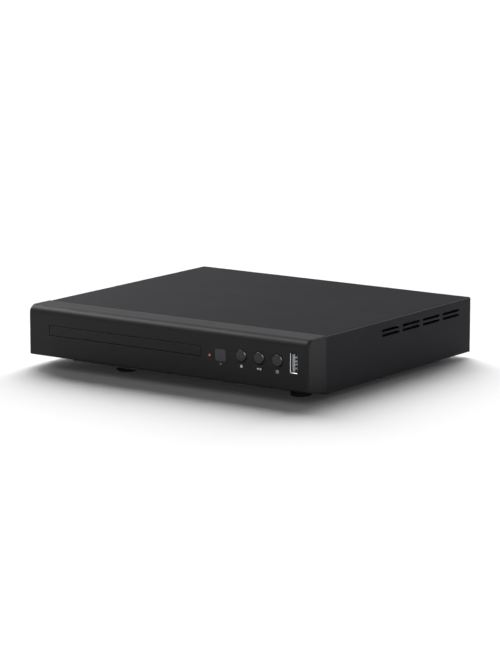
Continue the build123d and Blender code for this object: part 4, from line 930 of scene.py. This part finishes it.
def pan_head(bm, middle):
    """Adds one screw head that faces +Y to a bmesh."""
    head = bmesh.new()
    bmesh.ops.create_cone(
        head, cap_ends=True, segments=HEAD_SIDES, radius1=HEAD_RADIUS, radius2=HEAD_RADIUS, depth=HEAD_HEIGHT
    )
    bmesh.ops.translate(head, verts=head.verts, vec=(0.0, 0.0, HEAD_HEIGHT / 2))
    rim = [e for e in head.edges if all(v.co.z > FACE_LEVEL for v in e.verts)]
    bmesh.ops.bevel(
        head, geom=rim, offset=HEAD_ROUND, segments=ROUND_STEPS, profile=0.5, affect="EDGES", material=-1
    )
    for size in (CROSS_HALF, CROSS_REACH):
        for axis in ((1, 0, 0), (0, 1, 0)):
            cut_face(head, size, axis)
    cross = [face for face in head.faces if in_cross(face)]
    pushed = bmesh.ops.extrude_face_region(head, geom=cross)
    bmesh.ops.translate(head, verts=new_verts(pushed), vec=(0.0, 0.0, -CROSS_DEPTH))
    bmesh.ops.delete(head, geom=cross, context="FACES")
    bmesh.ops.rotate(head, verts=head.verts, cent=(0, 0, 0), matrix=Matrix.Rotation(-QUARTER_TURN, 3, "X"))
    bmesh.ops.translate(head, verts=head.verts, vec=middle)
    mesh = bpy.data.meshes.new("head")
    head.to_mesh(mesh)
    head.free()
    bm.from_mesh(mesh)
    bpy.data.meshes.remove(mesh)


print("screw head of", round(2 * HEAD_RADIUS / MM, 2), "mm")

# %% Three screws
black_zinc = grained("black_zinc_screw", "#3a3a3c", "#47474a", 0.4, 0.004, (0.3, 0.42), Metallic=1.0)
screws_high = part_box("cover_screws")[1]
screw_z = middle_of("cover_screws").z
screw_reach = screws_high.x - HEAD_RADIUS
bm = bmesh.new()
for x in (-screw_reach, 0.0, screw_reach):
    pan_head(bm, Vector((x, screws_high.y - HEAD_HEIGHT, screw_z)))
heads = place_piece("cover_screw_heads", bm, "case", black_zinc)
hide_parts("cover_screws")
print("screw heads:", len(heads.data.polygons), "faces")

# %% [markdown]
# ## Thread of the feed screw
# The pickup is driven by a screw with a lead of 3 mm. In CAD it is a smooth rod, because a
# thread is only a burden there. Here a small tooth profile is spun round the axis while it
# moves along, which is what a lathe does, and a plain core fills the middle.

# %% Feed screw
LEAD = 3.0 * MM
TOOTH_ROOT, TOOTH_TIP = 1.15, 1.48
ROOT_HALF, TIP_HALF = 0.9, 0.3
CORE_RADIUS = 1.2 * MM
CORE_SIDES = 32
STEPS_PER_TURN = 20
screw_low, screw_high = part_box("feed_screw")
screw_axis = middle_of("feed_screw")
screw_long = screw_high.y - screw_low.y
turns = screw_long / LEAD - 1.0
steps = int(turns * STEPS_PER_TURN)
tooth = [(TOOTH_ROOT, -ROOT_HALF), (TOOTH_TIP, -TIP_HALF), (TOOTH_TIP, TIP_HALF), (TOOTH_ROOT, ROOT_HALF)]
bm = bmesh.new()
profile = [bm.verts.new((r * MM, y * MM, 0.0)) for r, y in tooth]
edges = [bm.edges.new(pair) for pair in zip(profile, profile[1:])]
bmesh.ops.spin(
    bm,
    geom=profile + edges,
    axis=(0.0, 1.0, 0.0),
    cent=(0.0, 0.0, 0.0),
    dvec=(0.0, (screw_long - LEAD) / steps, 0.0),
    angle=turns * FULL_TURN,
    steps=steps,
    use_merge=False,
)
bmesh.ops.translate(bm, verts=bm.verts, vec=(0.0, screw_low.y + LEAD / 2, 0.0))
core = bmesh.ops.create_cone(
    bm, cap_ends=True, segments=CORE_SIDES, radius1=CORE_RADIUS, radius2=CORE_RADIUS, depth=screw_long
)["verts"]
bmesh.ops.rotate(bm, verts=core, cent=(0, 0, 0), matrix=Matrix.Rotation(QUARTER_TURN, 3, "X"))
bmesh.ops.translate(bm, verts=core, vec=(0.0, screw_axis.y, 0.0))
bmesh.ops.translate(bm, verts=bm.verts, vec=(screw_axis.x, 0.0, screw_axis.z))
thread = place_piece("feed_screw_thread", bm, "screw", ground_steel, smooth=True)
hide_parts("feed_screw")
print("thread turns:", round(turns, 1))

# %% [markdown]
# ## Table
# The player stands on a white laminate table that runs out of the picture on all sides, so one
# big square does. It is almost without gloss, and a trace of emission lifts the parts that the
# lamp reaches least.

# %% Table
TABLE_HALF = 6.0
TABLE_GLOW = 0.014
bm = bmesh.new()
bmesh.ops.create_grid(bm, x_segments=1, y_segments=1, size=TABLE_HALF)
floor_mesh = bpy.data.meshes.new("table")
bm.to_mesh(floor_mesh)
bm.free()
floor = bpy.data.objects.new("table", floor_mesh)
scene.collection.objects.link(floor)
white_table = grained(
    "white_table_laminate", "#fdfdfd", "#ffffff", 2.0, 0.002, (0.85, 0.95), Specular_IOR_Level=0.0,
    Emission_Color=linear("#ffffff"), Emission_Strength=TABLE_GLOW,
)
floor_mesh.materials.append(white_table)
print("table:", floor.name)

# %% [markdown]
# ## White room
# Around the table is a white room. The camera sees it at a strength of one, which is plain
# white. Polished surfaces see it too, with walls that are dimmer near the horizon than the
# ceiling, so that the front doesn't turn grey. All other light from the room is weak, because
# the lamps below are to shape the player. The Light Path node tells these rays apart.

# %% Rays that show the room
world = bpy.data.worlds.new("white_room")
scene.world = world
world.use_nodes = True
room = world.node_tree
room.nodes.clear()
rays = add_node(room, "ShaderNodeLightPath")
mirrored = add_node(
    room,
    "ShaderNodeMath",
    {0: rays.outputs["Is Glossy Ray"], 1: rays.outputs["Is Transmission Ray"]},
    operation="MAXIMUM",
)
shown = add_node(
    room,
    "ShaderNodeMath",
    {0: rays.outputs["Is Camera Ray"], 1: mirrored.outputs["Value"]},
    operation="MAXIMUM",
)
print("world:", world.name)

# %% Walls and fill
ROOM_FILL = 0.1
WALL_SHADE = 0.3
WALL_FOOT, WALL_HEAD = 0.1, 0.7
heading = add_node(room, "ShaderNodeTexCoord").outputs["Generated"]
rise = add_node(room, "ShaderNodeSeparateXYZ", {"Vector": heading})
wall = add_node(
    room,
    "ShaderNodeMapRange",
    {
        "Value": rise.outputs["Z"],
        "From Min": WALL_FOOT,
        "From Max": WALL_HEAD,
        "To Min": WALL_SHADE,
        "To Max": 1.0,
    },
)
shade = add_node(
    room,
    "ShaderNodeMix",
    {"Factor": mirrored.outputs["Value"], MIX_VALUE_A: 1.0, MIX_VALUE_B: wall.outputs["Result"]},
    data_type="FLOAT",
)
fill = add_node(room, "ShaderNodeBackground", {"Color": linear("#ffffff"), "Strength": ROOM_FILL})
backdrop = add_node(
    room,
    "ShaderNodeBackground",
    {"Color": linear("#ffffff"), "Strength": shade.outputs[MIX_VALUE_RESULT]},
)
mixed = add_node(
    room,
    "ShaderNodeMixShader",
    {0: shown.outputs["Value"], 1: fill.outputs["Background"], 2: backdrop.outputs["Background"]},
)
add_node(room, "ShaderNodeOutputWorld", {"Surface": mixed.outputs["Shader"]})
print("room fill:", ROOM_FILL, "walls:", WALL_SHADE)

# %% [markdown]
# ## Sun on the table
# A very broad sun from behind on the left makes the table white and throws the soft shadow in
# front of the player. So much light would wash out the black case, so light linking lets the
# sun light the table alone; the player still casts its shadow.

# %% Sun
SUN_STRENGTH = 8.4
SUN_BREADTH = 62.0
SUN_LEAN = -69.0
SUN_TURN = 35.0
sun_data = bpy.data.lights.new("broad_sun", "SUN")
sun_data.energy = SUN_STRENGTH
sun_data.angle = math.radians(SUN_BREADTH)
sun = bpy.data.objects.new("broad_sun", sun_data)
sun.rotation_euler = (math.radians(SUN_LEAN), 0.0, math.radians(SUN_TURN))
sun.visible_glossy = False
table_only = bpy.data.collections.new("table_only")
table_only.objects.link(floor)
sun.light_linking.receiver_collection = table_only
scene.collection.objects.link(sun)
print("sun:", sun_data.energy)

# %% [markdown]
# ## Soft boxes
# Soft boxes light the player and leave the table out. The edge box hangs above on the front
# left and draws the bright line along the fascia's rounded top edge. The left box makes the
# top lighter towards the left, the back box adds a little sheen from behind, and the fill box
# on the right lights the side with the vents. The rim box lights the three caps alone: it
# draws the bright crescents on their rims.

# %% Soft boxes
off_table = bpy.data.collections.new("off_table")
off_table.objects.link(floor)
off_table.collection_objects[0].light_linking.link_state = "EXCLUDE"
buttons_only = bpy.data.collections.new("buttons_only")
for cap in caps:
    buttons_only.objects.link(cap)


def soft_box(name, place, aim, size, watts, lit):
    """A square area lamp that looks at a point and lights one collection."""
    data = bpy.data.lights.new(name, "AREA")
    data.shape = "SQUARE"
    data.size = size
    data.energy = watts
    lamp = bpy.data.objects.new(name, data)
    lamp.location = place
    lamp.rotation_euler = (Vector(aim) - Vector(place)).to_track_quat("-Z", "Y").to_euler()
    lamp.light_linking.receiver_collection = lit
    scene.collection.objects.link(lamp)
    return lamp


soft_boxes = [
    soft_box("edge_box", (-0.42, -0.24, 0.6), (0.0, -0.1, 0.03), 0.4, 3.3, off_table),
    soft_box("left_box", (-0.52, 0.03, 0.24), (0.0, 0.0, 0.04), 0.2, 2.5, off_table),
    soft_box("back_box", (0.25, 0.54, 0.48), (0.1, -0.05, 0.03), 0.16, 0.6, off_table),
    soft_box("fill_box", (1.0, -0.9, 0.32), (0.05, -0.1, 0.02), 0.5, 3.2, off_table),
    soft_box("rim_box", (0.53, -0.56, 0.42), (0.07, -0.1, 0.02), 0.55, 14.0, buttons_only),
]
print("soft boxes:", [lamp.name for lamp in soft_boxes])
